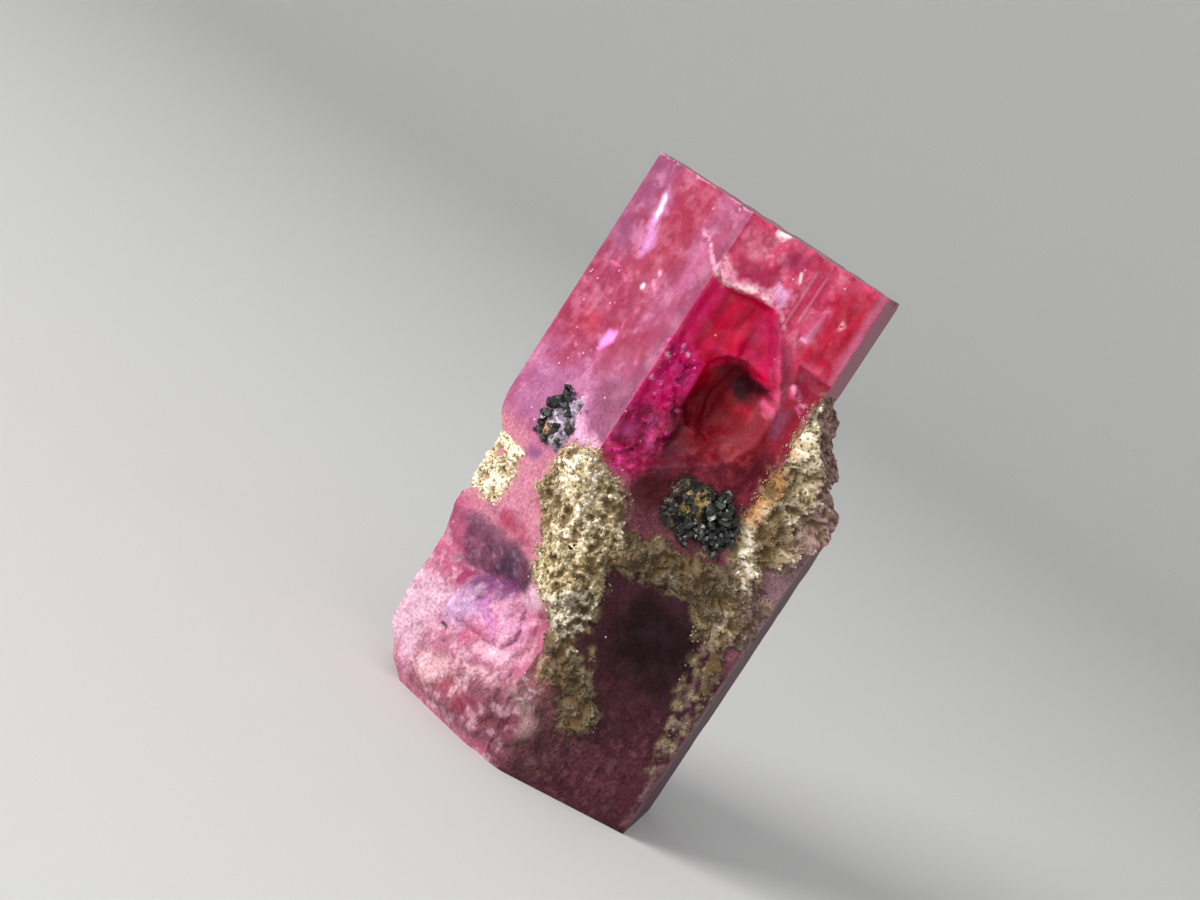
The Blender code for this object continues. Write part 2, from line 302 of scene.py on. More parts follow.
@dataclass(frozen=True)
class Prism:
    """The crystal's side surface: the solid's, with softer slopes at the pit and the lumps."""

    height: float = 12.58
    axis_x: float = -0.7955
    axis_y: float = -0.0944
    front_turn: float = 21.5
    wave_seed: int = 7
    waves: int = 9
    wave_lengths: tuple[float, float] = (0.45, 1.1)
    broken_slope: float = 0.30
    scoop: Hollow = Hollow(
        ((-12.9, 11.3), (-9, 11.1), (4, 11.17), (16, 11.16), (26, 10.75), (35, 10.1), (44, 9.5),
         (45, 8.6), (38, 7.9), (20, 7.4), (4, 6.9), (-12.9, 7.1)), -0.50, 0.55)
    pit: Hollow = Hollow(
        ((4, 9.5), (12, 9.85), (25, 9.95), (38, 9.8), (42, 9.3), (41, 8.5), (30, 8.05), (14, 8.1),
         (5, 8.4)), -0.55, 0.80)
    lilac_lump: Hollow = Hollow(
        ((-62, 2.9), (-45, 3.1), (-20, 3.25), (-4, 3.15), (1, 2.5), (-4, 2.05), (-25, 1.95),
         (-50, 1.9)), 0.20, 0.60)
    foot_lump: Hollow = Hollow(FOOT_LUMP, 0.15, 0.50)

    def normals(self) -> Array:
        """The direction of each face, in radians, 60 degrees apart."""
        return np.radians(self.front_turn + 60.0 * (np.arange(6) - 1))

    def corners(self, heights: Array) -> Array:
        """Where each face meets the next, from their two distances to the axis.

        Args:
            heights: Heights in millimetres.

        Returns:
            For each face and height, (across to +X, towards -Y) from the axis.
        """
        reaches = [face.reach(heights) for face in Face]
        step = math.radians(60.0)
        found = []
        for k, normal in enumerate(self.normals()):
            across = (reaches[(k + 1) % 6] - reaches[k] * math.cos(step)) / math.sin(step)
            right = reaches[k] * math.sin(normal) + across * math.cos(normal)
            front = reaches[k] * math.cos(normal) - across * math.sin(normal)
            found.append(np.stack([right, front], axis=-1))
        return np.array(found)

    def wavy(self, angle: Array, height: Array) -> Array:
        """Smooth unevenness from -1 to 1: a sum of sine waves in seeded directions."""
        random = np.random.default_rng(self.wave_seed)
        total = np.zeros_like(angle)
        for _ in range(self.waves):
            direction = random.uniform(0.0, math.tau)
            length = random.uniform(*self.wave_lengths)
            phase = random.uniform(0.0, math.tau)
            along = angle * MM_PER_DEGREE * math.cos(direction) + height * math.sin(direction)
            total += np.sin(math.tau * along / length + phase)
        return np.clip(2.0 * total / self.waves, -1.0, 1.0)

    def relief(self, angle: Array, height: Array) -> Array:
        """How far hollows, lumps and broken slopes put the surface off the prism faces.

        Each hollow or lump adds its plateau. Each broken area adds the waves, faded in from
        its outline.

        Args:
            angle: Degrees round the axis.
            height: Millimetres above the base.

        Returns:
            Millimetres outwards.
        """
        total = np.zeros_like(angle)
        for hollow in (self.scoop, self.pit, self.lilac_lump, self.foot_lump):
            total += plateau(outline_depth(angle, height, hollow.outline), hollow.level, hollow.slope)
        broken = ((SHOULDER, 0.10), (BROKEN_CORNER, 0.06), (self.scoop.outline, 0.07))
        for outline, unevenness in broken:
            depth = outline_depth(angle, height, outline)
            total += plateau(depth, unevenness, self.broken_slope) * self.wavy(angle, height)
        return total

    def distance(self, angle: Array, height: Array) -> Array:
        """Distance of the surface from the axis: the nearest face along the ray, plus the relief."""
        turned = np.radians(angle)
        nearest = np.full(np.shape(angle), np.inf)
        for face, normal in zip(Face, self.normals()):
            facing = np.cos(turned - normal)
            reach = face.reach(height) / np.maximum(facing, 1e-6)
            nearest = np.where(facing > 1e-3, np.minimum(nearest, reach), nearest)
        return nearest + self.relief(angle, height)

    def place(self, angle: Array, height: Array, distance: Array) -> Array:
        """Points in millimetres: sine and cosine of the angle times the distance, off the axis."""
        turn = np.radians(angle)
        x = self.axis_x + distance * np.sin(turn)
        y = self.axis_y - distance * np.cos(turn)
        return np.stack([x, y, height + np.zeros_like(x)], axis=-1)


@dataclass(frozen=True)
class Look:
    """A finish of beryl at one place.

    The colour, how much light passes in, how rough the surface is, how grainy the inside is
    and how many painted glints it has: small bright spots painted into the colour as highlights.
    """

    colour: str
    clear: float = 0.3
    haze: float = 0.3
    grit: float = 0.3
    glint: float = 0.003

    def row(self) -> Array:
        """The finish as one row of numbers: linear colour, then the four shares."""
        return np.r_[linear(self.colour), self.clear, self.haze, self.grit, self.glint]


@dataclass
class Skin:
    """Places on the crystal's surface, with noise that is worked out once for each size."""

    points: Array
    angle: Array
    height: Array
    face: Array
    clouds: dict[float, Array] = field(default_factory=dict)

    def cloud(self, size: float) -> Array:
        """Layered noise of this size at every place."""
        if size not in self.clouds:
            self.clouds[size] = layered_cloud(self.points, size, 3, Seed.SKIN)
        return self.clouds[size]


@dataclass(frozen=True)
class Patch:
    """A soft-edged patch of one look on the crystal's side."""

    outline: Outline
    look: Look
    soft: float = 0.2
    strength: float = 1.0
    form: Form = Form.AREA
    faces: tuple[Face, ...] = ()
    breakup: float = 0.0
    breakup_size: float = 0.3

    def weight(self, skin: Skin) -> Array:
        """How much of the patch each place has.

        The depth inside the outline is wobbled by layered noise, divided by the soft edge
        and smoothed. Beside a line the soft edge counts from the line outwards, and finer
        noise breaks the line up. Blots are the places inside the outline where layered
        noise is over the breakup, on any face.

        Args:
            skin: The places.

        Returns:
            Weights from 0 to the patch's strength.
        """
        depth = outline_depth(skin.angle, skin.height, self.outline, self.form)
        fine = skin.cloud(FINE_BREAKUP)
        if self.breakup:
            depth = depth + self.breakup * (skin.cloud(self.breakup_size) + 0.7 * fine)
        if self.form is Form.BLOTS:
            blots = (2.2 * skin.cloud(self.breakup_size) + fine - self.breakup) * 1.5
            return smooth_step(depth / self.soft) * smooth_step(blots) * self.strength
        line = self.form is Form.LINE
        soft = self.soft if line else 1.5 * self.soft
        share = smooth_step((depth + (soft if line else soft / 2)) / soft) * self.strength
        if line and self.breakup:
            share *= smooth_step(fine * 2.0 + 0.6)
        if self.faces:
            share = np.where(np.isin(skin.face, [f.number for f in self.faces]), share, 0.0)
        return share


def streak(line: Outline, look: Look, width: float, strength: float, breakup: float = 0.0,
           breakup_size: float = 0.3, faces: tuple[Face, ...] = ()) -> Patch:
    """A patch along a line: a crack, a painted glint or a bright edge."""
    return Patch(line, look, width, strength, Form.LINE, faces, breakup, breakup_size)


def blots(outline: Outline, look: Look, soft: float, strength: float, over: float, size: float) -> Patch:
    """Blots of a look, where noise of their size is over a level. A lower level gives more."""
    return Patch(outline, look, soft, strength, Form.BLOTS, (), over, size)


def on(faces: tuple[Face, ...], *patches: Patch) -> tuple[Patch, ...]:
    """The patches, kept to some faces."""
    return tuple(replace(patch, faces=faces) for patch in patches)


def add_node(tree: bpy.types.NodeTree, kind: str, settings: dict | None = None,
             links: dict | None = None) -> bpy.types.Node:
    """Adds a node, with its settings and links.

    Args:
        tree: The node tree it goes in.
        kind: The node's type name.
        settings: Values by input name, input number or attribute name.
        links: Output sockets by input name or input number.

    Returns:
        The node.
    """
    node = tree.nodes.new(kind)
    for key, value in (settings or {}).items():
        if isinstance(key, int) or key in node.inputs:
            node.inputs[key].default_value = value
        else:
            setattr(node, key, value)
    for key, socket in (links or {}).items():
        tree.links.new(socket, node.inputs[key])
    return node


def new_material(name: str) -> tuple[bpy.types.Material, bpy.types.NodeTree, bpy.types.Node, bpy.types.Node]:
    """A material with an empty Principled shader, and its tree, shader and output."""
    material = bpy.data.materials.new(name)
    material.use_nodes = True
    tree = material.node_tree
    return material, tree, tree.nodes["Principled BSDF"], tree.nodes["Material Output"]


def paint_of(colour: str) -> tuple[float, ...]:
    """A hex colour as a socket takes it: linear, and fully opaque."""
    return (*linear(colour), 1.0)


def span_settings(span: Span) -> dict[str, float]:
    """A Map Range node's settings, from the two values it reads and the two it gives."""
    return dict(zip(("From Min", "From Max", "To Min", "To Max"), span))


def per_metre(size: float) -> float:
    """The Scale of a noise node on Object coordinates whose blobs measure `size` millimetres."""
    return 1.0 / (size * MM)


@dataclass(frozen=True)
class BerylFinish:
    """Red beryl, grown in a gas cavity: glass-like, flawed, coloured raspberry red by manganese.

    Light passes into it, so it is see-through where it is clean and milky where fine cracks
    and inclusions fill it. Growth left faint lengthwise streaks.
    """

    name: str = "red_beryl_gem_and_milky"
    ior: float = 1.575
    absorbed: tuple[float, float, float] = (0.93, 0.08, 0.42)
    density: float = 430.0
    gloss: float = 0.08
    streak_width: float = 0.11
    streak_length: float = 1.3
    streak_shade: Span = (0.3, 0.7, 0.80, 1.2)
    grain: float = 0.065
    grain_shade: Span = (0.3, 0.7, 0.3, 1.7)
    veil: str = "#d6a4bc"
    veil_size: float = 0.42
    veil_share: Span = (0.46, 0.78, 0.0, 0.6)
    milkiness: Span = (0.35, 0.7, 1.1, 0.75)
    # Painted glints: the colour and size of small bright spots painted into the colour as highlights.
    glint: str = "#ffe6f2"
    glint_size: float = 0.10
    glint_fade: Span = (0.08, 0.26, 1.0, 0.0)
    bump_size: float = 0.05
    bump_depth: float = 0.013

    def build(self) -> bpy.types.Material:
        """Reads the piece's attributes, and varies them by streaks, grains, veils and painted glints."""
        material, tree, shader, output = new_material(self.name)
        tint, clear, haze, grit, glint = (
            add_node(tree, "ShaderNodeAttribute", {"attribute_name": key})
            for key in ("tint", "clear", "haze", "grit", "glint"))
        where = add_node(tree, "ShaderNodeTexCoord").outputs["Object"]
        stretch = add_node(tree, "ShaderNodeMapping", {
            "Scale": (1.0, 1.0, self.streak_width / self.streak_length)}, {"Vector": where})
        streaks, grains, veils, fine = (
            add_node(tree, "ShaderNodeTexNoise", {
                "Scale": per_metre(size), "Detail": detail, "Roughness": rough}, {
                "Vector": place}).outputs["Fac"]
            for size, detail, rough, place in (
                (self.streak_width, 3.0, 0.5, stretch.outputs[0]), (self.grain, 4.0, 0.7, where),
                (self.veil_size, 4.0, 0.6, where), (self.bump_size, 3.0, 0.5, where)))
        # Painted glints: Voronoi spots, where the glint attribute allows, take the glint colour as a painted
        # highlight.
        spots = add_node(tree, "ShaderNodeTexVoronoi", {
            "Scale": per_metre(self.glint_size)}, {"Vector": where})
        streaky, grainy, veil, milk, close = (
            add_node(tree, "ShaderNodeMapRange", span_settings(span), {"Value": value}).outputs[0]
            for span, value in (
                (self.streak_shade, streaks), (self.grain_shade, grains), (self.veil_share, veils),
                (self.milkiness, veils), (self.glint_fade, spots.outputs["Distance"])))
        shade = add_node(tree, "ShaderNodeMix", links={
            "Factor": grit.outputs["Fac"], "A": streaky, "B": grainy})
        shaded = add_node(tree, "ShaderNodeVectorMath", {"operation": "SCALE"}, {
            0: tint.outputs["Color"], "Scale": shade.outputs[0]})
        chance = add_node(tree, "ShaderNodeSeparateColor", links={"Color": spots.outputs["Color"]})
        chosen = add_node(tree, "ShaderNodeMath", {"operation": "LESS_THAN"}, {
            0: chance.outputs[0], 1: glint.outputs["Fac"]})
        milky, bright, passing = (
            add_node(tree, "ShaderNodeMath", {"operation": "MULTIPLY", "use_clamp": clamped}, {
                0: first, 1: second}).outputs[0]
            for first, second, clamped in (
                (veil, clear.outputs["Fac"], False), (chosen.outputs[0], close, False),
                (clear.outputs["Fac"], milk, True)))
        colour = shaded.outputs[0]
        for share, over in ((milky, self.veil), (bright, self.glint)):
            colour = add_node(tree, "ShaderNodeMix", {"data_type": "RGBA", 7: paint_of(over)}, {
                0: share, 6: colour}).outputs[2]
        bump = add_node(tree, "ShaderNodeBump", {"Distance": self.bump_depth * MM}, {
            "Height": fine, "Strength": grit.outputs["Fac"]})
        inside = add_node(tree, "ShaderNodeVolumeAbsorption", {
            "Color": (*self.absorbed, 1.0), "Density": self.density})
        shader.inputs["IOR"].default_value = self.ior
        shader.inputs["Specular IOR Level"].default_value = self.gloss
        tree.links.new(colour, shader.inputs["Base Color"])
        tree.links.new(passing, shader.inputs["Transmission Weight"])
        tree.links.new(haze.outputs["Fac"], shader.inputs["Roughness"])
        tree.links.new(bump.outputs[0], shader.inputs["Normal"])
        tree.links.new(inside.outputs[0], output.inputs["Volume"])
        return material


@dataclass(frozen=True)
class RhyoliteFinish:
    """Rhyolite, a volcanic rock, weathered to a chalky crust: matt, granular, cream to tan."""

    name: str = "rhyolite_weathered"
    roughness: float = 0.93
    speckle: float = 0.07
    speck_shade: Span = (0.3, 0.7, 0.62, 1.25)
    grit: float = 0.03
    grit_depth: float = 0.012
    grit_strength: float = 0.8

    def build(self) -> bpy.types.Material:
        """Colour comes from the piece's tint attribute, varied by fine specks."""
        material, tree, shader, _ = new_material(self.name)
        tint = add_node(tree, "ShaderNodeAttribute", {"attribute_name": "tint"})
        where = add_node(tree, "ShaderNodeTexCoord").outputs["Object"]
        specks, fine = (
            add_node(tree, "ShaderNodeTexNoise", {
                "Scale": per_metre(size), "Detail": detail, "Roughness": rough}, {
                "Vector": where}).outputs["Fac"]
            for size, detail, rough in ((self.speckle, 3.0, 0.7), (self.grit, 2.0, 0.5)))
        shade = add_node(tree, "ShaderNodeMapRange", span_settings(self.speck_shade), {"Value": specks})
        colour = add_node(tree, "ShaderNodeVectorMath", {"operation": "SCALE"}, {
            0: tint.outputs["Color"], "Scale": shade.outputs[0]})
        bump = add_node(tree, "ShaderNodeBump", {
            "Distance": self.grit_depth * MM, "Strength": self.grit_strength}, {"Height": fine})
        tree.links.new(colour.outputs[0], shader.inputs["Base Color"])
        tree.links.new(bump.outputs[0], shader.inputs["Normal"])
        shader.inputs["Roughness"].default_value = self.roughness
        return material


@dataclass(frozen=True)
class OxideFinish:
    """Black manganese and iron oxide in small cubic crystals: jet black with a soft gloss."""

    name: str = "black_oxide_crystals"
    colour: str = "#060809"
    dusty: str = "#1c1a17"
    ior: float = 1.7
    smudge: float = 0.12
    dust_share: Span = (0.45, 0.7, 0.0, 1.0)
    roughness: Span = (0.0, 1.0, 0.34, 0.7)

    def build(self) -> bpy.types.Material:
        """Black, with dusty smudges that are paler and rougher."""
        material, tree, shader, _ = new_material(self.name)
        where = add_node(tree, "ShaderNodeTexCoord").outputs["Object"]
        smudges = add_node(tree, "ShaderNodeTexNoise", {
            "Scale": per_metre(self.smudge), "Detail": 3.0}, {"Vector": where})
        dust = add_node(tree, "ShaderNodeMapRange", span_settings(self.dust_share), {
            "Value": smudges.outputs["Fac"]}).outputs[0]
        colour = add_node(tree, "ShaderNodeMix", {
            "data_type": "RGBA", 6: paint_of(self.colour), 7: paint_of(self.dusty)}, {0: dust})
        gloss = add_node(tree, "ShaderNodeMapRange", span_settings(self.roughness), {"Value": dust})
        tree.links.new(colour.outputs[2], shader.inputs["Base Color"])
        tree.links.new(gloss.outputs[0], shader.inputs["Roughness"])
        shader.inputs["IOR"].default_value = self.ior
        return material


@dataclass(frozen=True)
class PaperFinish:
    """Seamless studio paper: matt and pale."""

    name: str = "studio_paper"
    colour: str = "#d6d5d3"

    def build(self) -> bpy.types.Material:
        """One pale colour, fully matt."""
        material, _, shader, _ = new_material(self.name)
        shader.inputs["Base Color"].default_value = paint_of(self.colour)
        shader.inputs["Roughness"].default_value = 1.0
        return material


def new_piece(name: str, points: Array, faces: list[Cells], material: bpy.types.Material,
              attributes: dict[str, Array] | None = None, sharp: float = 40.0,
              keep_in: Array | None = None) -> bpy.types.Object:
    """Makes an object from points and faces.

    Args:
        name: The piece's name.
        points: Points in millimetres.
        faces: Blocks of faces with the same number of corners, as rows of point numbers.
        material: Its material.
        attributes: Values for each point, one number or three, by name.
        sharp: Edges that bend by more than this many degrees stay sharp.
        keep_in: Lowest and highest corner, in millimetres, that no point may pass.

    Returns:
        The object, at the origin.
    """
    if keep_in is not None:
        points = np.clip(points, keep_in[0], keep_in[1])
    mesh = bpy.data.meshes.new(name)
    mesh.vertices.add(len(points))
    mesh.vertices.foreach_set("co", (points * MM).astype(np.float32).ravel())
    corners = np.concatenate([block.ravel() for block in faces])
    sizes = np.concatenate([np.full(len(block), block.shape[1]) for block in faces])
    mesh.loops.add(len(corners))
    mesh.polygons.add(len(sizes))
    mesh.polygons.foreach_set("loop_start", np.concatenate([[0], np.cumsum(sizes)[:-1]]))
    mesh.polygons.foreach_set("vertices", corners)
    mesh.update(calc_edges=True)
    mesh.validate()
    mesh.shade_smooth()
    mesh.set_sharp_from_angle(angle=math.radians(sharp))
    for key, values in (attributes or {}).items():
        if values.ndim == 2:
            layer = mesh.attributes.new(key, "FLOAT_COLOR", "POINT")
            layer.data.foreach_set("color", np.c_[values, np.ones(len(values))].ravel())
        else:
            layer = mesh.attributes.new(key, "FLOAT", "POINT")
            layer.data.foreach_set("value", values.ravel())
    mesh.materials.append(material)
    piece = bpy.data.objects.new(name, mesh)
    bpy.context.scene.collection.objects.link(piece)
    return piece


def carry(piece: bpy.types.Object, stands_for: str = "") -> None:
    """Puts a piece on the root body, hides the node that it stands for, and logs its triangles."""
    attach(piece, "root")
    if stands_for:
        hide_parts(stands_for)
    piece.data.calc_loop_triangles()
    LOG.info("%s: %d triangles", piece.name, len(piece.data.loop_triangles))


def grid_quads(rows: int, columns: int) -> Cells:
    """Quads of a grid whose last column joins its first, facing outwards from the axis."""
    row, column = np.meshgrid(np.arange(rows - 1), np.arange(columns), indexing="ij")
    low = (row * columns + column).ravel()
    low_next = (row * columns + (column + 1) % columns).ravel()
    return np.stack([low, low_next, low_next + columns, low + columns], axis=1)


class Texture(Enum):
    """The kinds of fine relief on broken and grown beryl."""

    LUMPS = "rounded lumps side by side"
    FACETS = "small flat facets, each tilted its own way"
    GRIT = "fine roughness"
    WORN = "worn down evenly, as an edge is"


@dataclass(frozen=True)
class Relief:
    """A stretch of fine relief: where it is, its kind, the size of its parts and its depth."""

    outline: Outline
    kind: Texture
    size: float
    depth: float
    soft: float = 0.3

    def height(self, angle: Array, height: Array, points: Array) -> Array:
        """Millimetres outwards.

        Lumps are a half minus the squared distance from the grain's centre over its size.
        Facets are the grain's own random slope times the vector from its centre. Grit is
        layered noise. Worn is the depth times the distance inside the outline, inwards.
        Each is faded in from the outline.

        Args:
            angle: Degrees round the axis.
            height: Millimetres above the base.
            points: The same places as points.

        Returns:
            The relief at each place.
        """
        inside = np.maximum(outline_depth(angle, height, self.outline), 0.0)
        share = smooth_step(inside / self.soft)
        if self.kind is Texture.WORN:
            return -self.depth * inside * share
        here = share > 0.0
        rise = np.zeros_like(share)
        rise[here] = share[here] * self.depth * self.texture(points[here])
        return rise

    def texture(self, points: Array) -> Array:
        """The shape of lumps, facets or grit, from about -1 to 1."""
        if self.kind is Texture.GRIT:
            return layered_cloud(points, self.size, 2, Seed.GRIT)
        grain = grained(points, self.size, Seed.GRAINS)
        if self.kind is Texture.LUMPS:
            return 0.5 - (grain.near / self.size) ** 2 + 0.4 * (grain.which - 0.5)
        name = np.floor(grain.which[..., None] * FACET_NAMES).astype(np.int64)
        slope = np.stack([lattice_random(name, Seed.FACET_SLOPES + k) for k in range(3)], axis=-1) * 2.0 - 1.0
        return np.sum(slope * grain.offset, axis=-1) / self.size + 0.6 * (grain.which - 0.5)


def around(low: float, high: float) -> Outline:
    """An outline right round the crystal between two heights."""
    return ((-200.0, low), (200.0, low), (200.0, high), (-200.0, high))


@dataclass
class BerylCrystal:
    """The crystal: a clear raspberry-red upper prism on a milky, broken lower one."""

    prism: Prism = field(default_factory=Prism)
    keep_in: Array | None = None
    columns: tuple[int, ...] = (92, 126, 50, 26, 24, 30)
    row_bands: tuple[tuple[float, float, int], ...] = ((0.0, 6.0, 92), (6.0, 12.58, 150))
    base_rings: int = 3
    top_rings: int = 36
    chip_size: float = 0.26
    chip_depth: float = 0.09
    chip_reach: float = 0.18
    chips_over: float = 0.45
    unchipped: float = 0.15
    ring_radius: float = 2.8
    rim_share: float = 0.86
    terrace_size: float = 1.5
    terrace_depth: float = 0.07
    top_grain: float = 0.3
    ground: Look = Look("#b4647e")
    rock_dust: Look = Look("#aa9872", 0.04, 0.7, 1.0, 0.0)
    dust_size: float = 0.16
    dust_reach: float = 0.25
    dust_strength: float = 0.75
    reliefs: tuple[Relief, ...] = (
        Relief(((-13, 9.7), (-2, 9.6), (6, 9.1), (3, 8.2), (14, 7.6), (10, 6.9), (-13, 6.8)),
               Texture.FACETS, 0.20, 0.10, 0.2),
        Relief(((-13, 11.0), (17, 11.1), (28, 10.4), (29, 9.9), (6, 9.4), (-12, 9.9)),
               Texture.GRIT, 0.6, 0.05),
        Relief(((4, 9.3), (28, 9.9), (43, 9.6), (43, 8.6), (18, 8.0), (0, 8.0)),
               Texture.GRIT, 0.25, 0.05, 0.2),
        Relief(((6, 8.3), (56, 8.4), (56, 6.4), (20, 5.9), (-6, 6.6), (8, 7.2)), Texture.GRIT, 0.22, 0.04),
        Relief(((-60, 3.0), (-40, 3.15), (-8, 3.4), (3, 2.7), (2, 1.9), (-25, 1.65), (-56, 1.7)),
               Texture.FACETS, 0.50, 0.06, 0.25),
        Relief(((-20, 3.9), (32, 3.9), (32, 0.3), (-20, 0.3)), Texture.LUMPS, 0.7, 0.12, 0.5),
        Relief(((23, 3.5), (22, 1.4), (26, 0.35), (29, -0.7), (6, -0.7), (3, 0.35), (-2, 1.4), (0, 3.5)),
               Texture.WORN, 1.0, 0.42, 0.5),
        Relief(((-70, 6.1), (-28, 6.2), (-12, 4.5), (-15, 4.2), (-70, 4.2)), Texture.LUMPS, 0.45, 0.06),
        Relief(FOOT_LUMP, Texture.LUMPS, 0.42, 0.05),
        Relief(SHOULDER, Texture.FACETS, 0.38, 0.14),
        Relief(((-125, 0.1), (-125, 1.4), (-75, 3.0), (-58, 2.8), (-56, 0.1)), Texture.LUMPS, 0.40, 0.06),
        Relief(((12, 0.0), (12, 5.0), (70, 5.0), (70, 0.0)), Texture.GRIT, 0.16, 0.03),
        Relief(((-72, 0.0), (-72, 4.6), (-8, 4.6), (12, 2.4), (12, 0.0)), Texture.GRIT, 0.14, 0.05),
        Relief(((-190, 2.4), (-190, 7.0), (-118, 7.0), (-118, 2.4)), Texture.LUMPS, 0.55, 0.10, 0.6),
        Relief(((-190, 0.0), (-190, 12.0), (-70, 12.0), (-70, 0.0)), Texture.GRIT, 0.5, 0.03, 0.6),
        Relief(((70, 0.0), (70, 7.2), (180, 7.2), (180, 0.0)), Texture.GRIT, 0.5, 0.03, 0.6),
        Relief(((-13, 11.2), (20, 11.2), (45, 9.6), (57, 9.6), (57, 12.6), (-13, 12.6)),
               Texture.GRIT, 0.35, 0.03),
    )

    def heights(self) -> Array:
        """The rows' heights: base rings and top rings lie flat, and the side has its bands."""
        bands = [np.linspace(low, high, count, endpoint=False) for low, high, count in self.row_bands]
        side = np.r_[np.concatenate(bands), self.prism.height]
        return np.r_[np.zeros(self.base_rings), side, np.full(self.top_rings, self.prism.height)]

    def shares(self) -> Array:
        """How far out each row lies, as a share of the side's distance from the axis."""
        side_rows = sum(count for _, _, count in self.row_bands) + 1
        base = np.arange(1, self.base_rings + 1) / (self.base_rings + 1)
        top = (np.arange(self.top_rings, 0, -1) - 0.5) / self.top_rings
        return np.r_[base, np.ones(side_rows), top]

    def chips(self, angle: Array, height: Array) -> Array:
        """Small bites out of the top edge: grains of the edge that are missing, deepest at the top."""
        ring = self.prism.place(angle, np.zeros_like(height), np.full_like(angle, self.ring_radius))
        grain = grained(ring, self.chip_size, Seed.CHIPS)
        missing = np.where(grain.which > self.chips_over, 1.0 - grain.near / self.chip_size, self.unchipped)
        rise = smooth_step(1.0 - (self.prism.height - height) / (self.chip_reach * missing + 0.05))
        return self.chip_depth * np.clip(missing, 0.0, 1.0) * rise

    def surface(self) -> tuple[Array, Array, Array, Array]:
        """The crystal's whole skin on one grid.

        Each face is divided evenly from corner to corner at every height, so its ridges stay
        straight. The relief is added along the ray from the axis. The base and the top are
        the end rows drawn in towards the axis in rings. The top sinks in terraces: noise
        cut into whole steps, with a soft riser between two steps.

        Returns:
            Points, angle, height and face number, all by row and column. On the top the
            height grows by the distance from the rim, so that paint can keep to the rim.
        """
        heights, shares = self.heights(), self.shares()
        corners = self.prism.corners(heights)
        spans, numbers = [], []
        for k, count in enumerate(self.columns):
            part = (np.arange(count) / count)[:, None, None]
            spans.append(corners[k - 1] + (corners[k] - corners[k - 1]) * part)
            numbers.append(np.full(count, k))
        flat = np.concatenate(spans).transpose(1, 0, 2)
        angle = np.degrees(np.arctan2(flat[..., 0], flat[..., 1]))
        height = np.tile(heights[:, None], (1, angle.shape[1]))
        face = np.tile(np.concatenate(numbers), (len(heights), 1))
        plain = np.hypot(flat[..., 0], flat[..., 1])
        where = self.prism.place(angle, height, plain)
        distance = plain + self.prism.relief(angle, height)
        for relief in self.reliefs:
            distance = distance + relief.height(angle, height, where)
        share = shares[:, None]
        chip = self.chips(angle, height) * smooth_step((share - self.rim_share) / (1.0 - self.rim_share))
        points = self.prism.place(angle, height - 0.5 * chip, (distance - chip) * share)
        top = height >= self.prism.height
        inwards = np.where(top, distance * (1.0 - share), 0.0)
        step = layered_cloud(points, self.terrace_size, 2, Seed.TERRACES) * 2.5
        terraces = (np.floor(step) + smooth_step((step - np.floor(step)) * 4.0) + 2.5) / 5.0
        terraces += 0.25 * layered_cloud(points, self.top_grain, 3, Seed.TOP_GRAIN)
        ledge = smooth_step((1.0 - share) * 5.0)
        points[..., 2] -= np.where(top, self.terrace_depth * np.clip(terraces, 0.0, 1.2) * ledge, 0.0)
        return points, angle, height + inwards, face

    def patches(self) -> tuple[Patch, ...]:
        """The crystal's colour zones: later ones lie over earlier ones."""
        return self.upper_left((Face.LEFT,)) + self.upper_front((Face.FRONT,)) + self.lower((Face.FRONT,))

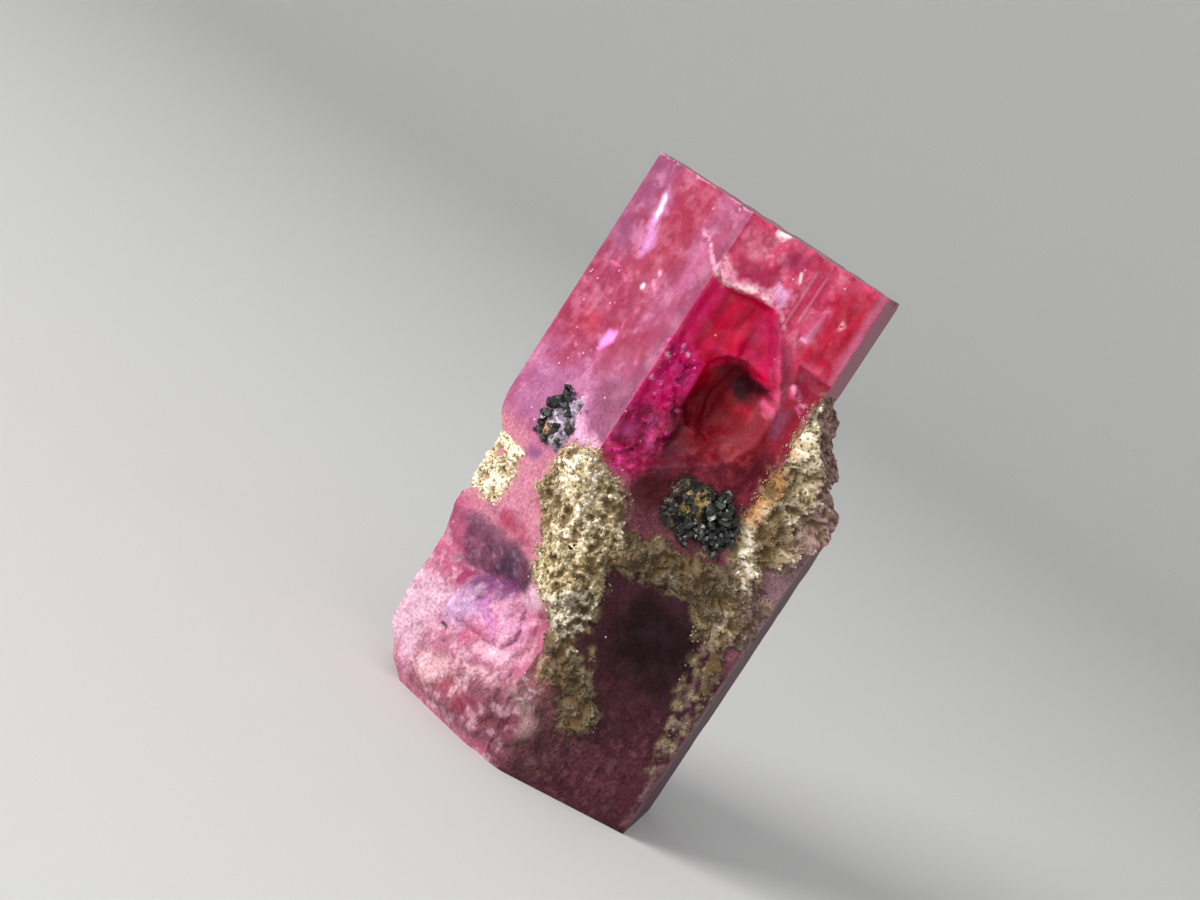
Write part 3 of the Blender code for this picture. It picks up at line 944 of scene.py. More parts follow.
    @staticmethod
    def upper_left(left: tuple[Face, ...]) -> tuple[Patch, ...]:
        """The left face of the upper prism: a hazy pane with mauve, salmon and crimson zones, a painted
        reflection near the top and a few painted highlights.
        """
        return (
            Patch(around(6.9, 17.0), Look("#b22b56", 0.72, 0.12, 0.2, 0.05), 1.4, breakup=0.5),
            Patch(around(12.66, 17.0), Look("#a83a5c", 0.45, 0.25, 0.3, 0.02), 0.1, breakup=0.1),
            *on(left,
                Patch(((-70, 6.0), (-13, 6.0), (-13, 12.8), (-70, 12.8)),
                      Look("#9f3558", 0.40, 0.24, 0.25), 0.1),
                Patch(((-70, 9.0), (-56, 9.0), (-56, 12.8), (-70, 12.8)), Look("#894369", 0.35, 0.25),
                      0.4, 0.9, breakup=0.15),
                Patch(((-50, 12.8), (-31, 12.8), (-31, 10.4), (-49, 10.2)),
                      Look("#a82d4c", 0.5, 0.2, 0.2), 0.5, 0.9, breakup=0.2),
                Patch(((-31, 12.8), (-19.5, 12.8), (-19.7, 9.6), (-31, 9.2)), Look("#9b486c", 0.35, 0.24),
                      0.18, 0.9, breakup=0.1),
                Patch(((-26, 11.5), (-19.5, 11.5), (-19.7, 10.2), (-25.5, 10.2)),
                      Look("#ae587f", 0.3, 0.2), 0.12, 0.8, breakup=0.06),
                Patch(((-18.5, 12.8), (-12, 12.8), (-12, 6.9), (-19, 6.9)), Look("#8a4062", 0.36, 0.24),
                      0.2, 0.85, breakup=0.05),
                Patch(((-70, 10.2), (-52, 10.05), (-41, 9.56), (-37, 9.0), (-39, 8.2), (-53, 7.9),
                      (-70, 8.2)), Look("#a31f4f", 0.5, 0.16, 0.3, 0.10), 0.5, 0.9, breakup=0.25),
                Patch(((-58, 9.05), (-49, 9.05), (-47, 8.76), (-50, 8.56), (-58, 8.6)),
                      Look("#c0273e", 0.5, 0.15), 0.2, 0.85, breakup=0.12),
                Patch(((-70, 8.1), (-12, 8.3), (-12, 6.0), (-70, 6.0)),
                      Look("#9c5a82", 0.25, 0.30, 0.55, 0.06), 1.0, 0.95, breakup=0.3),
                blots(((-70, 12.6), (-13, 12.6), (-13, 6.6), (-70, 6.6)), Look("#d890b0", 0.2, 0.25, 0.4),
                      0.3, 0.28, 0.12, 0.3),
                blots(((-70, 12.6), (-20, 12.6), (-20, 7.6), (-70, 7.6)), Look("#a01040", 0.5, 0.15, 0.2),
                      0.4, 0.5, 0.15, 0.45),
                # Painted reflection: a lilac-white streak with a near-white core, near the top of the left
                # face.
                Patch(((-55.8, 11.93), (-52.8, 11.84), (-51.1, 11.3), (-46.8, 10.82), (-49.5, 10.57),
                      (-52.5, 10.76), (-55.3, 11.35)), Look("#c089bf", 0.15, 0.2, 0.5), 0.22, 0.85,
                      breakup=0.12, breakup_size=0.2),
                Patch(((-55.5, 11.85), (-53.5, 11.8), (-53, 11.35), (-54.5, 11.4)),
                      Look("#efe6ff", 0.05, 0.15), 0.12, 0.9, breakup=0.06, breakup_size=0.15),
                # Painted highlight: a hot pink flare of light.
                Patch(((-42.2, 8.92), (-37.6, 9.0), (-37, 8.78), (-41.1, 8.46), (-42.9, 8.62)),
                      Look("#ff8ad8", 0.1, 0.1), 0.1, 0.95),
                streak(((-60.3, 10.11), (-55.6, 10.12), (-49.5, 9.98), (-44.6, 9.75), (-40.2, 9.46),
                       (-37, 9.13)), Look("#d15e8b", 0.15, 0.2, 0.5, 0.2), 0.05, 0.75, 0.03, 0.15),
                streak(((-60.7, 8.53), (-54.9, 8.32), (-47.6, 8.12)), Look("#cc83aa", 0.15, 0.2), 0.05,
                       0.8, 0.03, 0.15),
                # Painted highlights: three small white and pale pink spots.
                streak(((-39.8, 10.08), (-39.7, 10.05)), Look("#fff4f4", 0.0, 0.2), 0.085, 1.0),
                streak(((-36.3, 10.5), (-35.2, 10.46)), Look("#e2a3bf", 0.0, 0.2), 0.06, 1.0),
                streak(((-36.6, 10.28), (-33.4, 10.15)), Look("#de83aa", 0.05, 0.2), 0.06, 0.9),
                streak(((-30.7, 11.87), (-27.6, 11.65), (-22.8, 11.59), (-17.3, 11.33), (-13, 11.18)),
                       Look("#d990aa", 0.08, 0.25, 0.6, 0.5), 0.07, 0.95, 0.035, 0.12),
                streak(((-30.5, 12.19), (-30.3, 11.87)), Look("#cc7da0", 0.1, 0.25), 0.06, 0.8, 0.02,
                       0.1),
                Patch(((-32, 8.1), (-13, 8.3), (-13, 7.0), (-24, 7.1)), Look("#7c3c58", 0.3, 0.3, 0.5),
                      0.4, 0.8, breakup=0.2),
                Patch(((-34.2, 7.57), (-29, 7.2), (-23.8, 6.96), (-13, 6.95), (-13, 6.74), (-29.9, 6.66),
                      (-34, 6.9)), Look("#c893ad", 0.08, 0.5, 0.7, 0.1), 0.22, 0.9, breakup=0.14,
                      breakup_size=0.18),
                streak(((-62, 12.6), (-13, 12.6)), Look("#c97e9d", 0.1, 0.3, 0.6, 0.4), 0.07, 0.9, 0.04,
                       0.12)),
        )

    @staticmethod
    def upper_front(front: tuple[Face, ...]) -> tuple[Patch, ...]:
        """The front face of the upper prism: the clear crimson scoop, its bright rim with a painted highlight
        along it, and the pit.
        """
        over_scoop: Outline = ((-13, 12.6), (57, 12.6), (57, 10.2), (28, 10.7), (16, 11.4), (-13, 11.4))
        scoop_wall: Outline = ((-13, 11.1), (17, 11.1), (28, 10.4), (28, 9.9), (6, 9.4), (-13, 9.5))
        return (
            *on(front,
                Patch(((-13.5, 11.1), (17, 11.2), (30, 10.6), (57, 9.9), (57, 12.8), (-13.5, 12.8)),
                      Look("#d84a70", 0.25, 0.25, 0.4, 0.02), 0.3, breakup=0.15),
                Patch(((-11.4, 12.38), (-0.6, 12.37), (-0.6, 11.8), (-10.7, 11.72)),
                      Look("#d06c88", 0.25, 0.25), 0.12, 0.8, breakup=0.08, breakup_size=0.15),
                blots(over_scoop,
                      Look("#f0a0b8", 0.15, 0.25, 0.5), 0.2, 0.4, 0.1, 0.18),
                blots(over_scoop,
                      Look("#b0103c", 0.35, 0.15, 0.2), 0.2, 0.6, 0.1, 0.3),
                Patch(((6.8, 12.42), (18.1, 12.41), (16.9, 11.88), (7.8, 11.94)),
                      Look("#a82858", 0.3, 0.2), 0.2, 0.85, breakup=0.12),
                Patch(((-9.9, 11.71), (-3.6, 11.77), (6.7, 11.75), (11.1, 11.5), (9.9, 11.31),
                      (-3.6, 11.28), (-9.1, 11.38)), Look("#a8204a", 0.3, 0.2), 0.12, 0.85, breakup=0.06),
                Patch(((-5, 12.8), (8, 12.8), (4.1, 12.48), (0.4, 12.42), (-1.6, 12.5)),
                      Look("#f6d8d8", 0.05, 0.4, 0.6, 0.3), 0.10, 0.95, breakup=0.12, breakup_size=0.12),
                # Painted highlights: pink-lilac glints, and a white glint beside them.
                Patch(((11.1, 11.65), (16.8, 11.62), (20.4, 11.35), (18, 11.21), (13.3, 11.31),
                      (11.1, 11.41)), Look("#e2a0cc", 0.15, 0.15, 0.5, 0.5), 0.12, 0.9, breakup=0.12,
                      breakup_size=0.12),
                streak(((17.6, 12.05), (19.6, 11.88)), Look("#ffeef2", 0.05, 0.2), 0.06, 0.95),
                Patch(((23.4, 12.26), (28.7, 12.31), (33.8, 12.28), (32.2, 11.63), (29.7, 10.86),
                      (24.5, 10.84), (22.7, 11.45)), Look("#c43058", 0.3, 0.25), 0.15, 0.85,
                      breakup=0.06),
                streak(((24, 12.2), (24.5, 10.9)), Look("#d88aa6", 0.2, 0.15), 0.06, 0.7),
                streak(((29.6, 12.25), (29.4, 11.2)), Look("#d88aa6", 0.2, 0.15), 0.05, 0.7),
                Patch(((39.9, 12.4), (55.7, 12.4), (55.6, 10.46), (39.9, 10.55)),
                      Look("#b8002c", 0.3, 0.3, 0.3, 0.01), 0.3, 0.85, breakup=0.15),
                Patch(((37.8, 11.77), (38.8, 11.43), (39.7, 10.97), (37.7, 10.86), (34.1, 10.89),
                      (36.1, 11.09)), Look("#dc7aa4", 0.25, 0.12), 0.08, 0.9),
                streak(((34.9, 10.93), (37.9, 10.93)), Look("#ffb8d4", 0.1, 0.12), 0.05, 0.9),
                streak(((44, 11.7), (47, 11.6), (45.6, 11.52)), Look("#f6c0cc", 0.08, 0.2, 0.6, 0.6),
                       0.12, 0.9, 0.06, 0.1)),
            Patch(((56, 12.8), (115, 12.8), (115, 9.5), (56, 9.5)), Look("#a03c62", 0.2, 0.35, 0.3), 0.1,
                  faces=(Face.RIGHT, Face.BACK_RIGHT)),
            *on(front,
                Patch(((53, 12.6), (57, 12.6), (57, 9.8), (54.5, 9.8)), Look("#bc6c8c", 0.3, 0.2), 0.10,
                      0.8, breakup=0.05),
                Patch(((-8, 11.12), (17, 11.18), (29.8, 10.3), (36, 9.9), (42, 9.5), (43, 8.6), (36, 8.2),
                      (18, 8.1), (-8, 8.3)), Look("#d4003e", 0.2, 0.2, 0.15), 0.1),
                Patch(((-13.4, 11.1), (-6.9, 11.1), (-7.5, 9.5), (-13.4, 9.5)),
                      Look("#fa1474", 0.2, 0.2, 0.2), 0.12, 0.9, breakup=0.05),
                Patch(((15, 11.2), (28, 10.6), (37, 9.95), (26, 9.85), (17, 10.2)),
                      Look("#a82054", 0.15, 0.3, 0.4), 0.3, 0.8, breakup=0.15, breakup_size=0.2),
                blots(scoop_wall,
                      Look("#ff2c7c", 0.15, 0.2, 0.3), 0.2, 0.35, 0.3, 0.35),
                blots(scoop_wall,
                      Look("#8c0020", 0.2, 0.3, 0.3), 0.2, 0.5, 0.3, 0.25),
                Patch(((-6.9, 11.04), (-3.7, 11.09), (-4.3, 9.6), (-7.1, 9.6)),
                      Look("#c4003c", 0.3, 0.15), 0.1, 0.8, breakup=0.04),
                Patch(((-13.4, 9.58), (-5.7, 9.64), (2.1, 9.36), (5.3, 9.1), (3.1, 8.2), (-0.1, 8.0),
                      (-13.4, 8.0)), Look("#e80a74", 0.2, 0.25, 0.6, 0.08), 0.10, 0.97, breakup=0.06,
                      breakup_size=0.2),
                Patch(((-6.2, 9.19), (3.7, 9.15), (4.2, 8.66), (-5.8, 8.73)),
                      Look("#dc1080", 0.45, 0.08, 0.15), 0.12, 0.85),
                # Painted highlights: four small white-pink sparkle spots.
                streak(((-12.2, 9.24), (-11.5, 9.18)), Look("#ffd8ee", 0.0, 0.1), 0.04, 1.0),
                streak(((-9.6, 9.56), (-9.0, 9.40)), Look("#ffb0e4", 0.0, 0.1), 0.045, 0.95),
                streak(((-6.8, 9.42), (-5.7, 9.4)), Look("#ffd0f4", 0.0, 0.1), 0.06, 0.95),
                streak(((-12.4, 8.7), (-12.0, 8.62)), Look("#ffc8e8", 0.0, 0.1), 0.035, 0.95),
                Patch(((5.3, 9.1), (17.9, 9.71), (28.5, 9.79), (41.4, 9.58), (42.5, 9.18), (37.7, 8.75),
                      (17.8, 8.44), (6.3, 8.6)), Look("#640008", 0.05, 0.55, 0.5), 0.15, 0.95,
                      breakup=0.08),
                Patch(((5.5, 9.0), (14, 9.45), (17, 9.2), (8, 8.8)), Look("#a40018", 0.1, 0.5, 0.4), 0.2,
                      0.8, breakup=0.06),
                Patch(((31.4, 9.72), (41.4, 9.66), (41.6, 9.2), (36.5, 9.1), (30.4, 9.35)),
                      Look("#26000a", 0.04, 0.6, 0.6), 0.16, 0.97, breakup=0.10, breakup_size=0.2),
                Patch(((24, 9.85), (33, 9.7), (31, 9.3), (20, 9.4)), Look("#500008", 0.06, 0.55, 0.6),
                      0.2, 0.8, breakup=0.10, breakup_size=0.2),
                Patch(((1.5, 8.44), (7, 8.42), (6.6, 8.0), (0, 7.98)), Look("#2a0008", 0.05, 0.5, 0.6),
                      0.1, 0.95, breakup=0.05, breakup_size=0.15),
                Patch(((11, 8.3), (18, 8.26), (19, 8.03), (12, 8.03)), Look("#3c0014", 0.05, 0.5, 0.6),
                      0.1, 0.95, breakup=0.06, breakup_size=0.15),
                Patch(((43.1, 9.96), (57, 9.6), (57, 7.7), (42, 7.75), (41.4, 8.99)),
                      Look("#8c1c2c", 0.06, 0.5, 0.55), 0.25, 0.92, breakup=0.1),
                Patch(((43.5, 9.5), (49.5, 9.5), (49.4, 8.9), (44.1, 8.9)),
                      Look("#7c4c6c", 0.15, 0.35, 0.4), 0.2, 0.7, breakup=0.1),
                Patch(((4, 8.6), (20, 8.45), (44, 8.7), (57, 8.4), (57, 5.9), (4, 6.2)),
                      Look("#4a0c16", 0.05, 0.5, 0.8), 0.5, 0.93, breakup=0.2),
                Patch(((24, 8.75), (40, 9.0), (44, 9.4), (48, 8.9), (45, 8.1), (30, 7.8), (16, 7.8),
                      (14, 8.3)), Look("#6c0814", 0.05, 0.55, 0.6), 0.25, 0.92, breakup=0.1),
                Patch(((-13.4, 8.12), (5, 8.07), (9, 7.2), (4, 6.7), (-13.4, 6.6)),
                      Look("#b01c54", 0.15, 0.3, 0.8, 0.05), 0.2, 0.95, breakup=0.12),
                blots(((-13, 9.5), (3, 9.4), (6, 8.2), (10, 7.0), (2, 6.6), (-13, 6.6)),
                      Look("#ff50b0", 0.1, 0.15, 0.4), 0.12, 0.6, 0.25, 0.12),
                blots(((-13, 9.5), (3, 9.4), (6, 8.2), (14, 7.0), (2, 6.4), (-13, 6.4)),
                      Look("#6c0430", 0.15, 0.3, 0.5), 0.12, 0.7, 0.15, 0.15),
                blots(((6, 8.2), (56, 8.6), (56, 6.0), (6, 6.0)), Look("#9c3444", 0.1, 0.4, 0.7), 0.3,
                      0.3, 0.1, 0.15),
                Patch(((-12, 7.6), (-7.7, 7.57), (-8.2, 7.33), (-12, 7.39)), Look("#d4509c", 0.2, 0.15),
                      0.14, 0.9, breakup=0.08, breakup_size=0.15),
                Patch(((-5.9, 7.95), (-1.1, 7.94), (-2.1, 7.65), (-5, 7.71)), Look("#c83c88", 0.2, 0.15),
                      0.12, 0.9, breakup=0.08, breakup_size=0.15),
                Patch(((-1.1, 7.46), (4, 7.44), (2.9, 7.25)), Look("#cc5a94", 0.2, 0.15), 0.12, 0.9,
                      breakup=0.06, breakup_size=0.15),
                Patch(((6, 7.2), (33, 7.14), (36, 6.3), (30, 5.8), (10, 5.9), (1.8, 6.5)),
                      Look("#3a0e12", 0.04, 0.5, 0.9), 0.6, 0.9, breakup=0.3),
                Patch(((21.6, 6.33), (33.9, 6.25), (32.3, 5.82), (20.5, 5.9)),
                      Look("#5c3040", 0.12, 0.4, 0.7), 0.2, 0.8, breakup=0.12)),
            # The scoop's top rim: a pale chipped fracture edge, with a painted highlight along it in the
            # near-white streak.
            Patch(((-14, 11.2), (-12, 11.5), (-7, 11.42), (-3, 11.22), (2, 11.42), (8, 11.36),
                  (11.1, 11.55), (13, 11.2), (2, 11.16), (-4, 11.06), (-10, 11.0)),
                  Look("#e89cb4", 0.08, 0.3, 0.8, 0.2), 0.12, 0.85, breakup=0.12, breakup_size=0.15),
            streak(((-12.4, 11.13), (-9.9, 11.06), (-7.3, 11.07), (-3.6, 11.13), (1.8, 11.23),
                   (11.1, 11.22)), Look("#ffdada", 0.03, 0.3, 0.5, 0.5), 0.08, 1.0, 0.05, 0.12),
            streak(((11.1, 11.22), (16.9, 11.22), (22.2, 11.08), (26.3, 10.86)),
                   Look("#e8a0b8", 0.1, 0.25, 0.5, 0.4), 0.08, 0.9, 0.05, 0.12),
            streak(((26.3, 10.86), (32, 10.3), (38, 9.95), (42.5, 9.5), (43, 9.2)),
                   Look("#d84478", 0.3, 0.15, 0.3, 0.2), 0.09, 0.8, 0.05, 0.15),
            *on(front,
                Patch(((40.4, 10.5), (57, 10.42), (57, 9.8), (49.9, 9.95), (43, 10.06)),
                      Look("#90002c", 0.4, 0.2), 0.06, 0.9),
                streak(((40.4, 10.5), (57, 10.42)), Look("#d8507c", 0.3, 0.12), 0.04, 0.8),
                streak(((43.6, 9.99), (48.1, 9.86), (52.6, 9.75), (57, 9.65)),
                       Look("#ffa4c4", 0.1, 0.1, 0.4, 0.3), 0.09, 0.95, 0.03, 0.15),
                streak(((44.6, 9.86), (50.8, 9.66), (57, 9.4)), Look("#f05c98", 0.2, 0.1), 0.07, 0.85,
                       0.03, 0.15)),
        )

    @staticmethod
    def lower(front: tuple[Face, ...]) -> tuple[Patch, ...]:
        """The lower prism: milky pink with lilac lumps on the left, dark and grainy on the right, where the
        dark is partly the beryl's own colour and partly painted shade.
        """
        corner: Outline = ((-130, 4.3), (-130, -0.5), (10, -0.5), (6, 2.0), (-4, 3.4), (-8, 4.1))
        return (
            Patch(around(-1.0, 6.1), Look("#a85470", 0.22, 0.34, 0.5), 0.3, breakup=0.1),
            Patch(((-70, 6.3), (-28, 6.2), (-28, 5.2), (-14, 4.9), (-12, 4.2), (-70, 4.1)),
                  Look("#b06e80", 0.15, 0.42, 0.7, 0.01), 0.3, 0.95, breakup=0.15),
            Patch(((-41, 4.6), (-27, 4.65), (-18, 4.3), (-41, 4.15)), Look("#9c3450", 0.3, 0.35, 0.4),
                  0.2, 0.85, breakup=0.12),
            Patch(((-45.3, 6.04), (-37.2, 6.07), (-38.2, 5.81), (-46.3, 5.78)),
                  Look("#84487a", 0.3, 0.25), 0.16, 0.85, breakup=0.08),
            Patch(corner, Look("#a4667c", 0.15, 0.42, 0.8, 0.01), 0.3, 0.9, breakup=0.15),
            Patch(((-90, 4.2), (-60, 4.2), (-58, 2.4), (-90, 2.4)), Look("#a4486a", 0.2, 0.42, 0.6), 0.4,
                  0.9, breakup=0.15),
            # The facet under the ledge faces down, away from the light: partly its own purple-grey, partly
            # painted shade.
            Patch(((-58.2, 4.04), (-45.1, 4.16), (-22.4, 4.16), (-7.8, 4.0), (-9.5, 3.45), (-34.2, 3.12),
                  (-69.5, 2.90), (-64, 3.4)), Look("#5c3448", 0.2, 0.3, 0.8, 0.04), 0.16, 0.92,
                  breakup=0.1, breakup_size=0.15),
            Patch(((-23.9, 4.08), (-8.3, 3.98), (-9.9, 3.48), (-38, 3.25)),
                  Look("#3a2238", 0.25, 0.12, 0.6), 0.2, 0.85, breakup=0.1),
            Patch(((-62, 3.9), (-50, 4.05), (-44, 3.5), (-60, 3.1)), Look("#7a3a5c", 0.3, 0.12), 0.3, 0.6,
                  breakup=0.15),
            Patch(((-130, 2.3), (-56, 2.35), (-56, 0.6), (-130, 0.4)),
                  Look("#be98a8", 0.1, 0.42, 0.8, 0.01), 0.5, 0.9, breakup=0.2),
            Patch(((-52.5, 2.6), (-32, 2.78), (-26, 2.48), (-32.9, 1.94), (-51.4, 1.76), (-54.7, 2.15)),
                  Look("#b08aac", 0.1, 0.42, 0.7, 0.01), 0.3, 0.95, breakup=0.2, breakup_size=0.25),
            Patch(((-46.6, 3.05), (-13.1, 3.4), (-14.3, 2.93), (-31.8, 2.65), (-45.2, 2.7)),
                  Look("#6e386c", 0.2, 0.4, 0.55), 0.18, 0.92, breakup=0.12),
            Patch(((-57.5, 2.95), (-46.6, 3.03), (-46.1, 2.65), (-55.1, 2.46)),
                  Look("#94144e", 0.3, 0.25, 0.6, 0.1), 0.2, 0.85, breakup=0.06, breakup_size=0.2),
            Patch(((-26.3, 2.8), (-12, 3.1), (1.6, 2.9), (3.1, 2.28), (-8.3, 2.15), (-25.7, 1.98)),
                  Look("#bc7c9c", 0.1, 0.42, 0.7, 0.01), 0.35, 0.9, breakup=0.2),
            Patch(((-28, 2.7), (-12, 2.4), (-18, 2.3), (-30, 2.5)), Look("#b06ab4", 0.2, 0.2), 0.2, 0.6,
                  breakup=0.12),
            Patch(((-33.1, 2.04), (-17.3, 2.22), (-17.3, 1.86), (-31, 1.75)),
                  Look("#b04468", 0.2, 0.3, 0.7), 0.25, 0.8, breakup=0.1),
            Patch(((-21.3, 1.85), (-8.3, 2.06), (2.5, 2.26), (-0.8, 1.86), (-17.2, 1.66)),
                  Look("#d0a0b0", 0.08, 0.5, 0.7), 0.2, 0.9, breakup=0.12, breakup_size=0.2),
            Patch(((-8.1, 3.66), (-0.6, 3.75), (1.6, 3.23), (-8.3, 3.16)), Look("#d0a8bc", 0.1, 0.4, 0.5),
                  0.15, 0.9, breakup=0.08),
            # Painted highlight: a small white glint on the lilac lump.
            streak(((-53.5, 2.35), (-52.8, 2.05)), Look("#f4e4fa", 0.03, 0.2), 0.08, 0.9, 0.03, 0.15),
            # Front face of the lower prism, turned from the light: partly the beryl's own deep colour, partly
            # painted shade, darkest as a painted shadow just under the crust.
            Patch(((8, 5.3), (57, 5.3), (72, 4.0), (72, -0.5), (27, -0.5), (28, 1.7), (10, 2.2),
                  (8, 4.0)), Look("#381820", 0.06, 0.42, 0.85), 0.25, 0.98, faces=front, breakup=0.12),
            Patch(((32.2, 4.85), (54.4, 4.85), (61.5, 4.43), (63.5, 3.67), (58.7, 3.0), (35.1, 3.1),
                  (30, 3.9)), Look("#1a0a0e", 0.04, 0.45, 0.75), 0.6, 0.97, faces=front, breakup=0.15),
            Patch(((28, 1.5), (72, 1.9), (72, -0.5), (28, -0.5)), Look("#502430", 0.08, 0.5, 1.0), 0.8,
                  0.9, faces=front, breakup=0.25),
            Patch(((5, 3.6), (16, 3.7), (30, 2.7), (40, 1.6), (44, 0.6), (27, -0.4), (5, -0.4)),
                  Look("#4c2e2e", 0.06, 0.5, 1.0), 0.5, 0.85, faces=front, breakup=0.3,
                  breakup_size=0.25),
            Patch(((10, 3.4), (18, 3.3), (26, 2.0), (24, 1.6), (10, 1.7)),
                  Look("#7c4c4a", 0.06, 0.5, 1.0), 0.4, 0.8, faces=front, breakup=0.25, breakup_size=0.2),
            blots(((8, 3.2), (24, 3.4), (50, 2.3), (50, 0.9), (20, 1.2), (8, 1.8)),
                  Look("#3a3020", 0.04, 0.6, 1.0), 0.3, 0.8, -0.1, 0.13),
            Patch(((0, 6.4), (57, 6.3), (57, 5.3), (12, 5.2)), Look("#502a2e", 0.06, 0.5, 0.9), 0.3, 0.85,
                  faces=front, breakup=0.15),
            blots(((20, 3.2), (70, 4.0), (70, -0.4), (26, -0.4)), Look("#2c1416", 0.05, 0.5, 1.0), 0.5,
                  0.5, 0.15, 0.18),
            blots(((20, 2.4), (68, 2.4), (68, -0.4), (26, -0.4)), Look("#8e5c62", 0.08, 0.5, 1.0), 0.5,
                  0.22, 0.2, 0.12),
            Patch(((-57.3, 0.86), (-40, 1.1), (-20.7, 1.36), (-5, 1.6), (9.7, 1.76), (24.9, 1.66),
                  (28, 1.25), (27, 0.8), (20, 0.45), (5, 0.12), (-15, 0.05), (-55, 0.2)),
                  Look("#70404a", 0.08, 0.5, 0.9), 0.4, 0.9, breakup=0.22, breakup_size=0.2),
            Patch(((8.8, 1.65), (18.6, 1.68), (25.9, 1.5), (28, 1.13), (27, 0.8), (22, 0.6), (20, 1.1)),
                  Look("#665048", 0.06, 0.5, 0.9), 0.2, 0.85, breakup=0.08),
            streak(((-57, 0.8), (-40, 1.02), (-20.7, 1.28), (-5, 1.5), (9.7, 1.68)),
                   Look("#d0a4a4", 0.06, 0.5, 0.7), 0.12, 0.45, 0.06, 0.2),
            Patch(((-52, 1.0), (-30, 1.2), (-20, 1.0), (-30, 0.7), (-50, 0.65)),
                  Look("#c49aa0", 0.06, 0.5, 0.8), 0.3, 0.8, breakup=0.2, breakup_size=0.2),
            Patch(((5.4, 1.2), (14.5, 1.28), (18.6, 0.92), (14.5, 0.69), (6.6, 0.73)),
                  Look("#4c1420", 0.15, 0.5, 0.8), 0.25, 0.85, breakup=0.12),
            Patch(((-11.7, 0.95), (1.4, 1.0), (3.7, 0.54), (-9.3, 0.45)), Look("#742030", 0.15, 0.5, 0.8),
                  0.25, 0.8, breakup=0.12),
            Patch(((-30, 0.75), (-16, 1.0), (-12, 0.7), (-28, 0.4)), Look("#8c3c48", 0.12, 0.5, 0.8), 0.3,
                  0.8, breakup=0.2, breakup_size=0.18),
            Patch(((-48, 0.75), (-30, 0.9), (-30, 0.5), (-48, 0.4)), Look("#cc9ca0", 0.08, 0.5, 0.8), 0.3,
                  0.8, breakup=0.2, breakup_size=0.18),
            Patch(((17, 1.45), (26, 1.4), (27, 0.95), (20, 0.9)), Look("#a07a78", 0.06, 0.5, 0.8), 0.15,
                  0.85, breakup=0.08),
            blots(((-90, 4.2), (-90, -0.5), (24, -0.5), (18, 3.4), (-8, 3.6), (-60, 2.9)),
                  Look("#e4c0cc", 0.06, 0.45, 0.8), 0.3, 0.3, 0.2, 0.22),
            blots(((-90, 6.0), (-90, -0.5), (24, -0.5), (18, 3.4), (-12, 4.5), (-28, 6.0)),
                  Look("#7c3c54", 0.12, 0.45, 0.8), 0.3, 0.4, 0.22, 0.17),
            blots(((-66, 4.1), (-30, 4.1), (-12, 3.9), (-30, 3.2), (-66, 3.0)),
                  Look("#b08aa0", 0.15, 0.3, 0.8), 0.3, 0.3, 0.3, 0.12),
            blots(((-62, 1.1), (-62, 0.0), (-20, 0.0), (4, 1.5), (-20, 1.4)),
                  Look("#dcaeb4", 0.06, 0.5, 0.8), 0.3, 0.35, 0.05, 0.3),
            # Painted shadow: a dark band just under the crust's lower edge.
            Patch(((14.8, 4.72), (29.2, 4.72), (30.2, 4.27), (18.8, 4.31)),
                  Look("#44202e", 0.08, 0.42, 0.8), 0.15, 0.85, breakup=0.06),
            streak(((16.3, 4.58), (19.5, 4.5)), Look("#200c18", 0.1, 0.4), 0.1, 0.9),
            streak(((61, 4.53), (62.6, 4.07), (64.7, 3.45), (66.1, 3.03), (68.3, 2.71), (68.8, 1.2),
                   (68.8, 0.2)), Look("#80605c", 0.08, 0.48, 0.7), 0.07, 0.85, 0.03, 0.15),
            Patch(((69.5, 6.8), (110, 8.0), (140, 4.0), (140, -0.5), (69.5, -0.5)),
                  Look("#34202a", 0.06, 0.5, 0.6), 0.12, 0.85, breakup=0.04),
            Patch(((62, 8.0), (69, 8.2), (84, 8.2), (84, 5.4), (66, 4.6)),
                  Look("#8a6870", 0.08, 0.5, 0.8), 0.4, 0.9, breakup=0.2),
            Patch(((76, 6.8), (79, 6.8), (79, -0.5), (76, -0.5)), Look("#7c6270", 0.15, 0.35), 0.1, 0.7,
                  breakup=0.03),
            Patch(((60, 9.9), (66, 7.6), (90, 7.3), (125, 6.9), (160, 7.4), (150, 9.1), (100, 9.9)),
                  Look("#94686e", 0.10, 0.48, 0.65), 0.3, 0.9, breakup=0.2),
            streak(((-50, 1.69), (-45, 1.7)), Look("#140a12", 0.05, 0.3), 0.085, 1.0),
            streak(((-41.5, 1.46), (-39.5, 1.46)), Look("#140a12", 0.05, 0.3), 0.055, 1.0),
        )

    def paint(self, skin: Skin) -> Array:
        """Lays every patch, then the rock dust that lies along the crust's ragged edge.

        Args:
            skin: The places.

        Returns:
            A row of finish numbers for each place.
        """
        looks = np.tile(self.ground.row(), (len(skin.angle), 1))
        for patch in self.patches():
            share = patch.weight(skin)[:, None]
            looks += (patch.look.row() - looks) * share
        dust = self.rock_dust.row()
        for layer in rock_layers():
            near = smooth_step(layer.depth(skin.angle, skin.height, skin.points) / self.dust_reach + 1.0)
            drift = layered_cloud(skin.points, self.dust_size, 3, Seed.ROCK_DUST)
            share = near * smooth_step(drift * 2.2 + 0.25) * self.dust_strength
            looks += (dust - looks) * share[:, None]
        return looks

